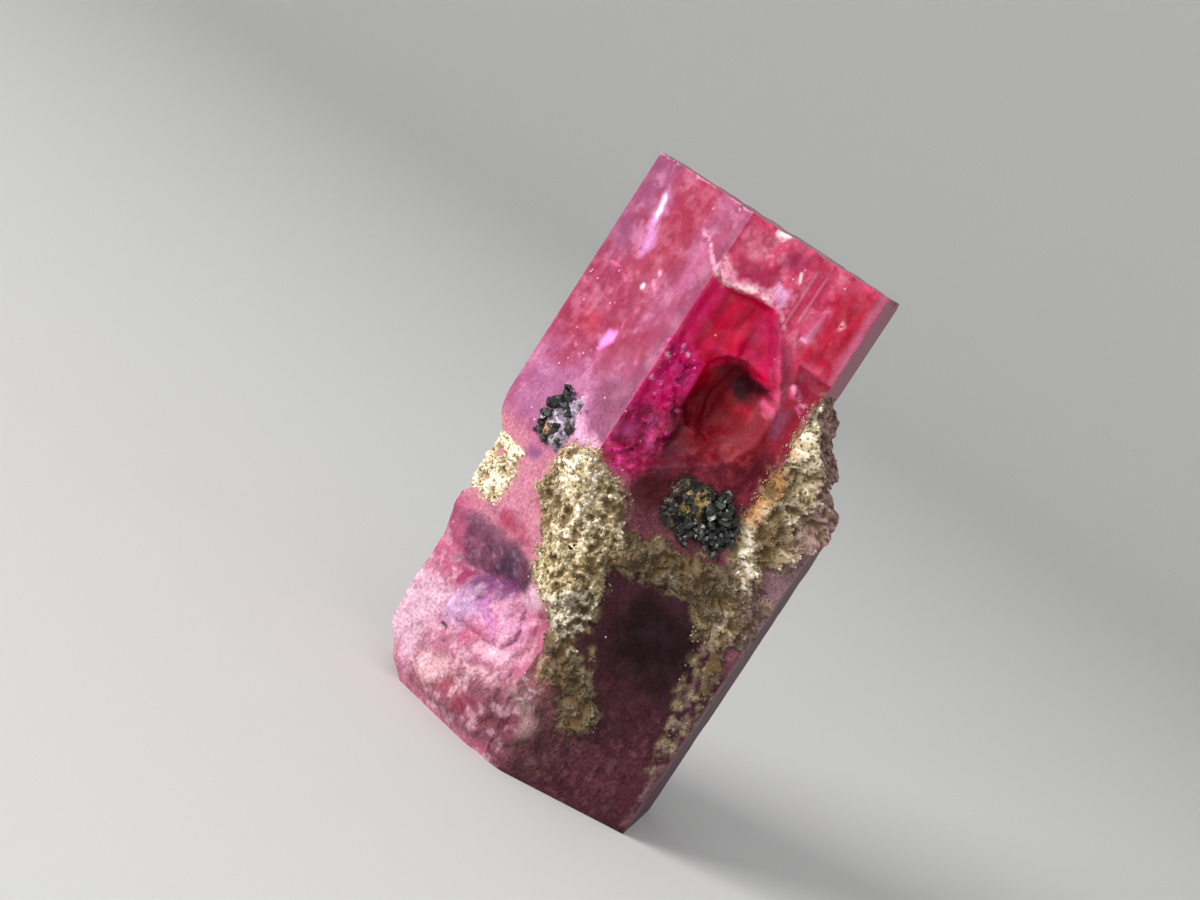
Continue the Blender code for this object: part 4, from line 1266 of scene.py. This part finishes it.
    def build(self, finish: bpy.types.Material) -> None:
        """Makes the crystal's piece: the grid's quads, closed by a fan at each pole."""
        points, angle, height, face = self.surface()
        rows, columns = angle.shape
        flat = points.reshape(-1, 3)
        looks = self.paint(Skin(flat, angle.ravel(), height.ravel(), face.ravel()))
        poles = np.array([[self.prism.axis_x, self.prism.axis_y, 0.0],
                          [self.prism.axis_x, self.prism.axis_y, points[-1, :, 2].mean()]])
        column = np.arange(columns)
        following = (column + 1) % columns
        last = (rows - 1) * columns
        base = np.stack([np.full(columns, len(flat)), following, column], axis=1)
        top = np.stack([np.full(columns, len(flat) + 1), last + column, last + following], axis=1)
        looks = np.concatenate([looks, looks[[0, last]]])
        shares = dict(zip(("clear", "haze", "grit", "glint"), looks[:, 3:].T))
        piece = new_piece("beryl_crystal", np.concatenate([flat, poles]),
                          [grid_quads(rows, columns), base, top], finish,
                          {"tint": looks[:, :3], **shares}, sharp=42.0, keep_in=self.keep_in)
        carry(piece, "red_beryl")


@dataclass(frozen=True)
class StainAndShade:
    """A patch of colour on rock: stains, dust and rust, and on the front face dark brown that is partly
    painted shade.
    """

    outline: Outline
    colour: str
    soft: float = 0.3
    strength: float = 0.8


@dataclass(frozen=True)
class Thin:
    """A stretch of crust that is thin and broken into islands, by how much its edge draws in."""

    outline: Outline
    amount: float


@dataclass
class RockLayer:
    """A crust of rock grains that sticks to the crystal inside an outline."""

    name: str
    node: str
    slot: str
    outline: Outline
    thickness: float
    roughness: float
    colour: str
    # Pale is painted on ridges and grain tops as a painted highlight; dark goes into the pores as painted
    # shade and into the random mottle.
    pale: str
    dark: str
    seed: int
    prism: Prism = field(default_factory=Prism)
    keep_in: Array | None = None
    step: float = 0.026
    slope: float = 0.34
    ragged: float = 0.13
    sunk: float = 0.05
    swell: float = 0.15
    ridge: float = 0.085
    ridge_size: float = 0.26
    grain: float = 0.10
    grain_depth: float = 0.036
    pore: float = 0.17
    pore_depth: float = 0.07
    pores_over: float = 0.78
    swell_size: float = 0.7
    ragged_size: float = 0.32
    island_size: float = 0.30
    hole_gap: float = 0.05
    least_rise: float = 0.012
    margin: float = 0.2
    lowest: float = 0.05
    stain_and_shade_ragged: float = 0.16
    stain_and_shade_size: float = 0.3
    mottle_size: float = 0.35
    crumbs: int = 0
    crumb_sizes: tuple[float, float] = (0.016, 0.046)
    holes: tuple[Outline, ...] = ()
    thins: tuple[Thin, ...] = ()
    stains_and_shade: tuple[StainAndShade, ...] = ()

    def depth(self, angle: Array, height: Array, points: Array) -> Array:
        """Distance inside the ragged outline, drawn in at the thin stretches and kept off the holes."""
        depth = outline_depth(angle, height, self.outline)
        for hole in self.holes:
            depth = np.minimum(depth, -outline_depth(angle, height, hole) - self.hole_gap)
        for thin in self.thins:
            share = smooth_step(outline_depth(angle, height, thin.outline) / 0.4 + 0.5)
            islands = 0.5 + 0.9 * layered_cloud(points, self.island_size, 3, self.seed + 30)
            depth = depth - thin.amount * share * islands
        return depth + self.ragged * layered_cloud(points, self.ragged_size, 4, self.seed)

    def rise(self, angle: Array, height: Array, points: Array) -> tuple[Array, Array]:
        """How far the crust stands off the crystal, and how deep in a pore or on a ridge it is.

        The body is a plateau with waves and swells. Ridges are a level minus the size of
        noise, so they follow the lines where the noise changes sign. Small grains stand on
        it as a level minus the squared distance from their centre over their size. Pores
        sink round the centres of about a fifth of the cells of a coarser packing.

        Args:
            angle: Degrees round the axis.
            height: Millimetres above the base.
            points: The same places as points.

        Returns:
            Millimetres outwards, and a shade from -1 in a pore to 1 on a ridge, which the tints paint into
            the colour.
        """
        depth = self.depth(angle, height, points)
        rise = -self.sunk * smooth_step(-depth / 0.05)
        shade = np.zeros_like(depth)
        here = depth > 0.0
        near, places = depth[here], points[here]
        part = np.clip(near / self.slope, 0.0, 1.0)
        body = plateau(near, self.thickness, self.slope)
        body += self.roughness * self.prism.wavy(angle[here], height[here]) * part
        swell = layered_cloud(places, self.swell_size, 2, self.seed + 3)
        ridge = 0.6 - 2.4 * np.abs(layered_cloud(places, self.ridge_size, 2, self.seed + 5))
        grain = grained(places, self.grain, self.seed + 9)
        grains = 0.5 - (grain.near / self.grain) ** 2 * 1.3
        hole = grained(places, self.pore, self.seed + 15)
        pore = smooth_step(1.25 - hole.near / (self.pore * (0.15 + 0.6 * hole.which)))
        pore = np.where(hole.which > self.pores_over, pore, 0.0)
        rough = self.swell * swell + self.ridge * ridge + self.grain_depth * grains - self.pore_depth * pore
        rise[here] = np.maximum(body + smooth_step(part * 1.8) * rough, self.least_rise)
        # The shade is painted into the colour: painted highlight on ridges, grains and swells, painted shade
        # in the pores.
        shade[here] = np.clip(0.9 * ridge + 0.9 * grains - 1.2 * pore + 0.4 * swell - 0.1, -1.0, 1.0)
        return rise, shade

    def tints(self, angle: Array, height: Array, shade: Array, points: Array) -> Array:
        """Rock colour with painted light and shade: paler on ridges and grain tops as a painted highlight,
        darker in the pits as painted shade, with the coloured patches laid over and shaded the same way.
        """
        up = smooth_step(shade)[:, None]
        down = smooth_step(-shade)[:, None]
        tint = linear(self.colour) * (1 - up) + linear(self.pale) * up
        fray = self.stain_and_shade_ragged * layered_cloud(points, self.stain_and_shade_size, 3, Seed.STAINS_AND_SHADE)
        for stain_and_shade in self.stains_and_shade:
            depth = outline_depth(angle, height, stain_and_shade.outline) + fray
            share = smooth_step(depth / stain_and_shade.soft + 0.5)[:, None] * stain_and_shade.strength
            shaded = linear(stain_and_shade.colour) * (1.0 + 0.5 * shade[:, None])
            tint = tint + (shaded - tint) * share
        mottle = layered_cloud(points, self.mottle_size, 4, self.seed + 21)
        mottle = smooth_step(mottle * 1.8 + 0.25)[:, None]
        tint = tint * (1.0 - 0.4 * mottle) + linear(self.dark) * 0.4 * mottle
        tint = tint * (1 - 0.9 * down) + linear(self.dark) * 0.9 * down
        return np.clip(tint, 0.0, 1.0)

    def build(self, finish: bpy.types.Material) -> None:
        """Makes the crust: a top and an under side on one grid, joined by a wall round the rim."""
        low, high = np.min(self.outline, axis=0), np.max(self.outline, axis=0)
        beside = self.margin / MM_PER_DEGREE
        angles = np.arange(low[0] - beside, high[0] + beside, self.step / MM_PER_DEGREE)
        heights = np.arange(max(low[1] - self.margin, self.lowest), high[1] + self.margin, self.step)
        angle, height = np.meshgrid(angles, heights)
        distance = self.prism.distance(angle, height)
        points = self.prism.place(angle, height, distance)
        rise, shade = self.rise(angle, height, points)
        over = self.prism.place(angle, height, distance + rise)
        under = self.prism.place(angle, height, distance - self.sunk - 0.02)
        body = rise > -self.sunk * 0.9
        cells = body[:-1, :-1] | body[1:, :-1] | body[:-1, 1:] | body[1:, 1:]
        used, quads, rims = closed_layer(cells)
        tint = self.tints(angle[used], height[used], shade[used], points[used])
        everything = np.concatenate([over[used], under[used]])
        piece = new_piece(self.name, everything, [quads, rims], finish,
                          {"tint": np.concatenate([tint, tint])}, sharp=180.0, keep_in=self.keep_in)
        carry(piece, self.node)
        if self.crumbs:
            self.scatter(finish)

    def scatter(self, finish: bpy.types.Material) -> None:
        """Strews loose crumbs over the crust: twenty-sided lumps, each stretched and turned its own way."""
        random = np.random.default_rng(self.seed)
        span = np.array(self.outline)
        tries = self.crumbs * 8
        angle = random.uniform(span[:, 0].min(), span[:, 0].max(), tries)
        height = random.uniform(span[:, 1].min(), span[:, 1].max(), tries)
        distance = self.prism.distance(angle, height)
        points = self.prism.place(angle, height, distance)
        rise, shade = self.rise(angle, height, points)
        depth = self.depth(angle, height, points)
        sparse = random.uniform(-0.22, 0.02, tries)
        kept = np.flatnonzero((depth > sparse) & (shade > -0.5))[:self.crumbs]
        size = random.uniform(*self.crumb_sizes, len(kept)) * np.where(depth[kept] < 0.0, 0.6, 1.0)
        centre = self.prism.place(angle[kept], height[kept], (distance + np.maximum(rise, 0.0))[kept])
        crumbs, faces = strewn(centre, size, random)
        tint = self.tints(angle[kept], height[kept], shade[kept] + random.uniform(-1.0, 0.3, len(kept)),
                          points[kept])
        each = len(crumbs) // max(len(kept), 1)
        piece = new_piece(self.name + "_crumbs", crumbs, [faces], finish,
                          {"tint": np.repeat(tint, each, axis=0)}, sharp=60.0, keep_in=self.keep_in)
        carry(piece)


def closed_layer(cells: npt.NDArray[np.bool_]) -> tuple[npt.NDArray[np.bool_], Cells, Cells]:
    """Faces of a closed layer over some cells of a grid.

    Point k of the top lies over point k of the under side, which come after one another. A
    side of a cell with no neighbour beyond it gets a wall.

    Args:
        cells: The cells that the layer covers, by row and column.

    Returns:
        Which grid points are used, the quads of top and under side, and those of the rim.
    """
    used = np.zeros((cells.shape[0] + 1, cells.shape[1] + 1), bool)
    for up in (0, 1):
        for across in (0, 1):
            used[up:up + cells.shape[0], across:across + cells.shape[1]] |= cells
    number = np.full(used.shape, -1)
    number[used] = np.arange(used.sum())
    count = int(used.sum())
    row, column = np.nonzero(cells)
    a, b = number[row, column], number[row, column + 1]
    c, d = number[row + 1, column + 1], number[row + 1, column]
    top = np.stack([a, b, c, d], axis=1)
    quads = np.concatenate([top, top[:, ::-1] + count])
    padded = np.pad(cells, 1)
    sides = ((a, b, padded[:-2, 1:-1]), (b, c, padded[1:-1, 2:]), (c, d, padded[2:, 1:-1]),
             (d, a, padded[1:-1, :-2]))
    rims = []
    for first, last, beyond in sides:
        free = ~beyond[row, column]
        rims.append(np.stack([first[free] + count, last[free] + count, last[free], first[free]], axis=1))
    return used, quads, np.concatenate(rims)


def icosahedron() -> tuple[Array, Cells]:
    """Corners of a twenty-sided solid of radius 1, from three golden rectangles, and its faces."""
    g = (1.0 + math.sqrt(5.0)) / 2.0
    corners = np.array([(-1, g, 0), (1, g, 0), (-1, -g, 0), (1, -g, 0), (0, -1, g), (0, 1, g),
                        (0, -1, -g), (0, 1, -g), (g, 0, -1), (g, 0, 1), (-g, 0, -1), (-g, 0, 1)], float)
    faces = np.array([(0, 11, 5), (0, 5, 1), (0, 1, 7), (0, 7, 10), (0, 10, 11), (1, 5, 9), (5, 11, 4),
                      (11, 10, 2), (10, 7, 6), (7, 1, 8), (3, 9, 4), (3, 4, 2), (3, 2, 6), (3, 6, 8),
                      (3, 8, 9), (4, 9, 5), (2, 4, 11), (6, 2, 10), (8, 6, 7), (9, 8, 1)])
    return corners / math.hypot(1.0, g), faces


def cut_cube(cut: float) -> tuple[Array, Cells]:
    """Corners of a cube with its eight corners cut off, of half-width 1, and its triangles.

    Each cube corner gives three points, one along each edge, moved in by the cut. The hull
    has six octagons, divided into fans, and eight triangles.

    Args:
        cut: How far along each edge a corner is cut.

    Returns:
        The points and the triangles.
    """
    points, index = [], {}
    for corner in np.ndindex(2, 2, 2):
        sign = 2 * np.array(corner) - 1
        for axis in range(3):
            place = sign.astype(float)
            place[axis] *= 1.0 - cut
            index[(corner, axis)] = len(points)
            points.append(place)
    corners = np.array(points)
    faces = []
    for axis in range(3):
        for side in (-1, 1):
            ring = np.flatnonzero(np.isclose(corners[:, axis], side))
            u, v = (axis + 1) % 3, (axis + 2) % 3
            turn = np.arctan2(corners[ring, v], corners[ring, u]) * side
            ring = ring[np.argsort(turn)]
            faces += [(ring[0], ring[k], ring[k + 1]) for k in range(1, len(ring) - 1)]
    for corner in np.ndindex(2, 2, 2):
        three = [index[(corner, axis)] for axis in range(3)]
        flip = np.prod(2 * np.array(corner) - 1) < 0
        faces.append(tuple(three[::-1] if flip else three))
    return corners, np.array(faces)


def random_turns(count: int, random: np.random.Generator) -> Array:
    """Random rotation matrices, from unit quaternions."""
    q = random.normal(size=(count, 4))
    w, x, y, z = (q / np.linalg.norm(q, axis=1, keepdims=True)).T
    return np.stack([
        np.stack([1 - 2 * (y * y + z * z), 2 * (x * y - z * w), 2 * (x * z + y * w)], axis=-1),
        np.stack([2 * (x * y + z * w), 1 - 2 * (x * x + z * z), 2 * (y * z - x * w)], axis=-1),
        np.stack([2 * (x * z - y * w), 2 * (y * z + x * w), 1 - 2 * (x * x + y * y)], axis=-1)], axis=-2)


def strewn(centres: Array, sizes: Array, random: np.random.Generator,
           template: tuple[Array, Cells] | None = None, uneven: float = 0.25) -> tuple[Array, Cells]:
    """Copies of one small shape, each at its own place, size and turn, in one mesh.

    Each point is the template's point times its own uneven factor, times the copy's size
    along three stretched axes, turned by the copy's rotation, plus the copy's centre.

    Args:
        centres: The copies' centres in millimetres.
        sizes: Their radii in millimetres.
        random: The seeded source of turns and stretches.
        template: Corners and faces, or none for a twenty-sided lump.
        uneven: How much the corners and the three axes vary.

    Returns:
        The points and the faces.
    """
    corners, faces = template or icosahedron()
    count = len(centres)
    wobble = 1.0 + uneven * random.uniform(-1.0, 1.0, (count, len(corners), 1))
    stretch = 1.0 + uneven * random.uniform(-1.0, 1.0, (count, 1, 3))
    shaped = corners[None] * wobble * stretch * sizes[:, None, None]
    turned = np.einsum("nij,nkj->nki", random_turns(count, random), shaped)
    points = (turned + centres[:, None]).reshape(-1, 3)
    numbers = faces[None] + len(corners) * np.arange(count)[:, None, None]
    return points, numbers.reshape(-1, faces.shape[1])


@dataclass(frozen=True)
class Clump:
    """A clump of grains: its place on the side, its spread in millimetres and their number."""

    angle: float
    height: float
    spread: float
    count: int


@dataclass
class OxideCluster:
    """A cluster of small black crystals on a thin bed."""

    name: str
    node: str
    bed: RockLayer
    clumps: tuple[Clump, ...]
    seed: int
    sizes: tuple[float, float] = (0.035, 0.085)
    out: tuple[float, float] = (0.02, 0.10)
    prism: Prism = field(default_factory=Prism)
    keep_in: Array | None = None

    def build(self, bed_finish: bpy.types.Material, finish: bpy.types.Material) -> None:
        """Makes the bed, then cut cubes and rounder lumps half sunk in it."""
        self.bed.build(bed_finish)
        random = np.random.default_rng(self.seed)
        spots, heap = [], []
        for clump in self.clumps:
            away = random.normal(size=(clump.count, 2)) * clump.spread * 0.6
            spots.append(np.array([clump.angle, clump.height]) + away / (MM_PER_DEGREE, 1.0))
            heap.append(np.exp(-np.sum(away**2, axis=1) / clump.spread**2) * clump.spread * 0.5)
        place = np.concatenate(spots)
        size = random.uniform(*self.sizes, len(place))
        out = random.uniform(*self.out, len(place)) + np.concatenate(heap)
        distance = self.prism.distance(place[:, 0], place[:, 1]) + out
        centres = self.prism.place(place[:, 0], place[:, 1], distance)
        half = len(place) // 2
        cubes, faces = strewn(centres[:half], size[:half], random, cut_cube(0.6), 0.18)
        lumps, more = strewn(centres[half:], size[half:] * 1.2, random)
        piece = new_piece(self.name, np.concatenate([cubes, lumps]), [faces, more + len(cubes)], finish,
                          sharp=25.0, keep_in=self.keep_in)
        carry(piece, self.node)


@dataclass(frozen=True)
class Studio:
    """A plain pale bowl of paper, a large soft light on either side, a pale sky and the camera."""

    camera_place: tuple[float, float, float] = (-1.5035, -55.3084, 13.27)
    pitch: float = 7.0205
    roll: float = 33.0
    lens: float = 77.468
    sensor: float = 36.0
    floor_radius: float = 170.0
    bend_radius: float = 230.0
    wall_height: float = 620.0
    segments: int = 96
    inner_radius: float = 5.0
    floor_steps: int = 12
    bend_steps: int = 24
    aim: tuple[float, float, float] = (0.0, 0.0, 6.3)
    key_place: tuple[float, float, float] = (-164.0, -128.0, 66.0)
    key_size: tuple[float, float] = (110.0, 130.0)
    key_power: float = 0.74
    fill_place: tuple[float, float, float] = (-25.0, -225.0, 120.0)
    fill_size: tuple[float, float] = (200.0, 200.0)
    fill_power: float = 0.20
    sky: str = "#e9edf2"
    sky_strength: float = 0.70

    def build(self) -> None:
        """Makes the bowl, the lights, the sky above it and the camera."""
        self.bowl()
        self.softbox("key", self.key_place, self.key_size, self.key_power)
        self.softbox("fill", self.fill_place, self.fill_size, self.fill_power)
        world = bpy.data.worlds.new("studio_sky")
        world.use_nodes = True
        background = world.node_tree.nodes["Background"]
        background.inputs["Color"].default_value = paint_of(self.sky)
        background.inputs["Strength"].default_value = self.sky_strength
        bpy.context.scene.world = world
        bpy.context.scene.view_settings.view_transform = "Standard"
        self.camera()

    def bowl(self) -> None:
        """The floor, bent up all round into a wall: a line, a quarter circle and a line, turned."""
        bend = np.radians(np.linspace(0.0, 90.0, self.bend_steps))
        radius = np.r_[np.linspace(self.inner_radius, self.floor_radius, self.floor_steps)[:-1],
                       self.floor_radius + self.bend_radius * np.sin(bend),
                       self.floor_radius + self.bend_radius]
        height = np.r_[np.zeros(self.floor_steps - 1), self.bend_radius * (1.0 - np.cos(bend)),
                       self.wall_height]
        turn = np.linspace(0.0, math.tau, self.segments, endpoint=False)
        points = np.stack([radius[:, None] * np.sin(turn), -radius[:, None] * np.cos(turn),
                           height[:, None] + np.zeros_like(turn)], axis=-1).reshape(-1, 3)
        column = np.arange(self.segments)
        centre = np.full(self.segments, len(points))
        middle = np.stack([centre, column, (column + 1) % self.segments], axis=1)
        quads = grid_quads(len(radius), self.segments)[:, ::-1]
        floor = new_piece("paper_floor", np.r_[points, [[0.0, 0.0, 0.0]]], [quads, middle],
                          PaperFinish().build(), sharp=180.0)
        floor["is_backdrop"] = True

    def softbox(self, name: str, place: tuple[float, float, float], size: tuple[float, float],
                power: float) -> None:
        """A rectangular light that faces the crystal's middle."""
        light = bpy.data.lights.new(name, "AREA")
        light.shape = "RECTANGLE"
        light.size, light.size_y = size[0] * MM, size[1] * MM
        light.energy = power
        lamp = bpy.data.objects.new(name, light)
        bpy.context.scene.collection.objects.link(lamp)
        where = Vector(place) * MM
        lamp.location = where
        lamp.rotation_euler = (Vector(self.aim) * MM - where).to_track_quat("-Z", "Y").to_euler()
        lamp.visible_camera = False

    def camera(self) -> None:
        """The camera: pitched down, then rolled, so that the crystal leans to the right."""
        pitch, roll = math.radians(self.pitch), math.radians(self.roll)
        level_up = Vector((0.0, math.sin(pitch), math.cos(pitch)))
        ahead = Vector((0.0, math.cos(pitch), -math.sin(pitch)))
        level_right = Vector((1.0, 0.0, 0.0))
        right = math.cos(roll) * level_right + math.sin(roll) * level_up
        up = math.cos(roll) * level_up - math.sin(roll) * level_right
        lens = bpy.data.cameras.new("camera")
        lens.sensor_width = self.sensor
        lens.lens = self.lens
        lens.clip_start = MM
        lens.clip_end = 10.0
        camera = bpy.data.objects.new("camera", lens)
        camera.matrix_world = Matrix.Translation(Vector(self.camera_place) * MM) @ Matrix(
            (right, up, -ahead)).transposed().to_4x4()
        bpy.context.scene.collection.objects.link(camera)
        bpy.context.scene.camera = camera


CRUST_OUTLINE: Outline = (
    (-27, 6.45), (-31, 5.4), (-21, 5.0), (-14, 4.6), (-11, 4.1), (-6, 3.75), (3, 3.3), (9, 2.6),
    (16, 2.15), (27, 1.75), (35, 1.3), (44, 1.35), (48, 1.75), (42, 2.35), (32, 2.85), (22, 3.4),
    (19, 4.3), (15, 4.85), (33, 5.0), (51, 5.05), (59, 4.7), (63, 3.7), (65, 2.5), (66.5, 1.4),
    (68.5, 1.4), (69.5, 4.6), (72, 6.4), (77, 7.3), (86, 7.9), (100, 8.5), (112, 9.2), (104, 9.9),
    (80, 10.15), (57, 10.1), (57, 6.1), (36, 5.95), (13, 5.8), (3, 6.25), (-6, 6.55), (-18, 6.85))
LEFT_PATCH: Outline = (
    (-85, 5.15), (-79, 4.95), (-77, 4.6), (-68, 4.5), (-47, 4.5), (-45, 5.1), (-46, 5.75), (-63, 5.85),
    (-73, 5.8), (-78, 5.45))
BLACK_UPPER: Outline = ((-43, 6.25), (-31, 6.25), (-28, 6.8), (-32, 7.4), (-41, 7.4), (-45, 6.8))
BLACK_LOWER: Outline = (
    (21, 6.6), (24, 7.25), (36, 7.35), (53, 7.2), (55.5, 6.5), (50, 6.2), (26, 6.2))


def rock_layers() -> list[RockLayer]:
    """The crust and the patch on the left edge."""
    stains_and_shade = (
        StainAndShade(((-14, 4.6), (10, 5.6), (24, 5.6), (22, 3.6), (12, 3.4), (-8, 3.9)), "#a89468", 0.5, 0.55),
        StainAndShade(((6, 4.2), (21, 4.2), (21, 3.2), (-4, 3.3)), "#c4bca8", 0.3, 0.8),
        # These two dark brown patches on the front face are partly the crust's brown and partly painted
        # shade, where the crust turns from the light.
        StainAndShade(((6, 3.2), (44, 2.4), (50, 1.2), (9, 1.5)), "#4a3a28", 0.4, 0.9),
        StainAndShade(((8, 6.2), (60, 6.3), (60, 4.8), (16, 4.8)), "#463824", 0.4, 0.9),
        StainAndShade(((57, 10.2), (62, 10.2), (64, 7.0), (57, 7.0)), "#857660", 0.3, 0.8),
        StainAndShade(((56, 8.9), (58, 8.9), (58.8, 8.1), (58, 7.3), (55, 6.9)), "#a86a1c", 0.25, 0.85),
        StainAndShade(((61, 7.6), (70, 7.4), (68, 6.3), (60, 6.6)), "#6a5030", 0.3, 0.8),
        StainAndShade(((61, 6.2), (76, 6.2), (76, 1.0), (61, 1.0)), "#604844", 0.4, 0.9),
        StainAndShade(((58, 10.4), (62.5, 10.4), (62.5, 8.6), (57, 8.4)), "#b8ab90", 0.25, 0.8),
        StainAndShade(((66, 10.4), (115, 10.4), (115, 7.0), (73, 6.0), (68, 7.6)), "#a4827e", 0.35, 0.95),
    )
    thins = (
        Thin(((2, 3.5), (24, 3.4), (52, 2.3), (52, 1.0), (8, 1.2), (0, 2.4)), 0.40),
        Thin(((13, 6.1), (60, 6.2), (60, 4.6), (16, 4.6)), 0.22),
        Thin(((60, 6.6), (78, 6.6), (78, 1.0), (60, 1.0)), 0.30),
        Thin(((66, 10.4), (115, 10.4), (115, 7.0), (73, 6.0)), 0.16),
    )
    crust = RockLayer("rhyolite_crust", "matrix_crust", "crust", CRUST_OUTLINE, 0.24, 0.12, "#b2a07c",
                      "#fff8e8", "#5c4424", 11, crumbs=6500, holes=(BLACK_UPPER, BLACK_LOWER),
                      thins=thins, stains_and_shade=stains_and_shade)
    patch = RockLayer("rhyolite_patch_left", "matrix_patch_left", "crust", LEFT_PATCH, 0.10, 0.04,
                      "#e6d8b6", "#fbf3dc", "#7a5c34", 23, swell=0.04, crumbs=900)
    return [crust, patch]


def oxide_clusters() -> list[OxideCluster]:
    """The ring of black crystals on the left face and the larger cluster on the front."""
    rust = StainAndShade(((-44.1, 6.59), (-35.7, 6.62), (-35.7, 6.4), (-44, 6.4)), "#a8742c", 0.1)
    dust = StainAndShade(((26, 6.85), (34, 7.15), (41, 6.95), (38, 6.5), (28, 6.55)), "#a08a54", 0.2, 0.85)
    upper_bed = RockLayer("oxide_bed_upper", "", "crust", BLACK_UPPER, 0.05, 0.0, "#8f8090", "#cdbfcc",
                          "#2c2428", 35, slope=0.15, swell=0.02, pore_depth=0.03, crumbs=120,
                          stains_and_shade=(rust,))
    lower_bed = RockLayer("oxide_bed_lower", "", "crust", BLACK_LOWER, 0.06, 0.0, "#2a241c", "#7a6a48",
                          "#0a0908", 47, slope=0.2, swell=0.03, pore_depth=0.05, crumbs=700,
                          stains_and_shade=(dust,))
    upper = (Clump(-40.7, 7.30, 0.16, 9), Clump(-44.1, 7.04, 0.12, 7), Clump(-45.5, 6.76, 0.08, 5),
             Clump(-43.5, 6.55, 0.10, 6), Clump(-44.8, 6.39, 0.07, 4), Clump(-35.0, 7.05, 0.10, 6),
             Clump(-31.0, 6.82, 0.08, 5), Clump(-35.7, 6.62, 0.12, 6), Clump(-31.5, 6.47, 0.06, 3),
             Clump(-38.5, 6.34, 0.06, 3))
    lower = (Clump(43.5, 7.21, 0.15, 12), Clump(41.4, 6.98, 0.14, 10), Clump(47.5, 7.0, 0.18, 14),
             Clump(52.5, 6.88, 0.16, 12), Clump(54.5, 6.55, 0.14, 10), Clump(50, 6.56, 0.2, 16),
             Clump(44, 6.62, 0.2, 14), Clump(38.2, 6.42, 0.18, 14), Clump(36.8, 6.2, 0.13, 9),
             Clump(26, 6.62, 0.12, 9), Clump(29.6, 6.95, 0.10, 7), Clump(44.8, 6.36, 0.18, 12),
             Clump(51, 6.3, 0.10, 6), Clump(34, 6.7, 0.2, 8))
    return [OxideCluster("oxide_grains_upper", "black_grains_upper", upper_bed, upper, 5, (0.04, 0.09)),
            OxideCluster("oxide_grains_lower", "black_grains_lower", lower_bed, lower, 6)]


def main() -> None:
    """Builds the pieces in order inside the box of the imported solids, then the studio."""
    logging.basicConfig(level=logging.INFO, format="%(message)s", stream=sys.stdout)
    solid_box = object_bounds()
    beryl, rock, oxide = BerylFinish().build(), RhyoliteFinish().build(), OxideFinish().build()
    room = np.array([list(corner) for corner in solid_box]) / MM
    BerylCrystal(keep_in=room).build(beryl)
    for layer in rock_layers():
        layer.keep_in = room
        layer.build(rock)
    for cluster in oxide_clusters():
        cluster.keep_in = cluster.bed.keep_in = room
        cluster.build(rock, oxide)
    Studio().build()


if __name__ == "__main__":
    main()
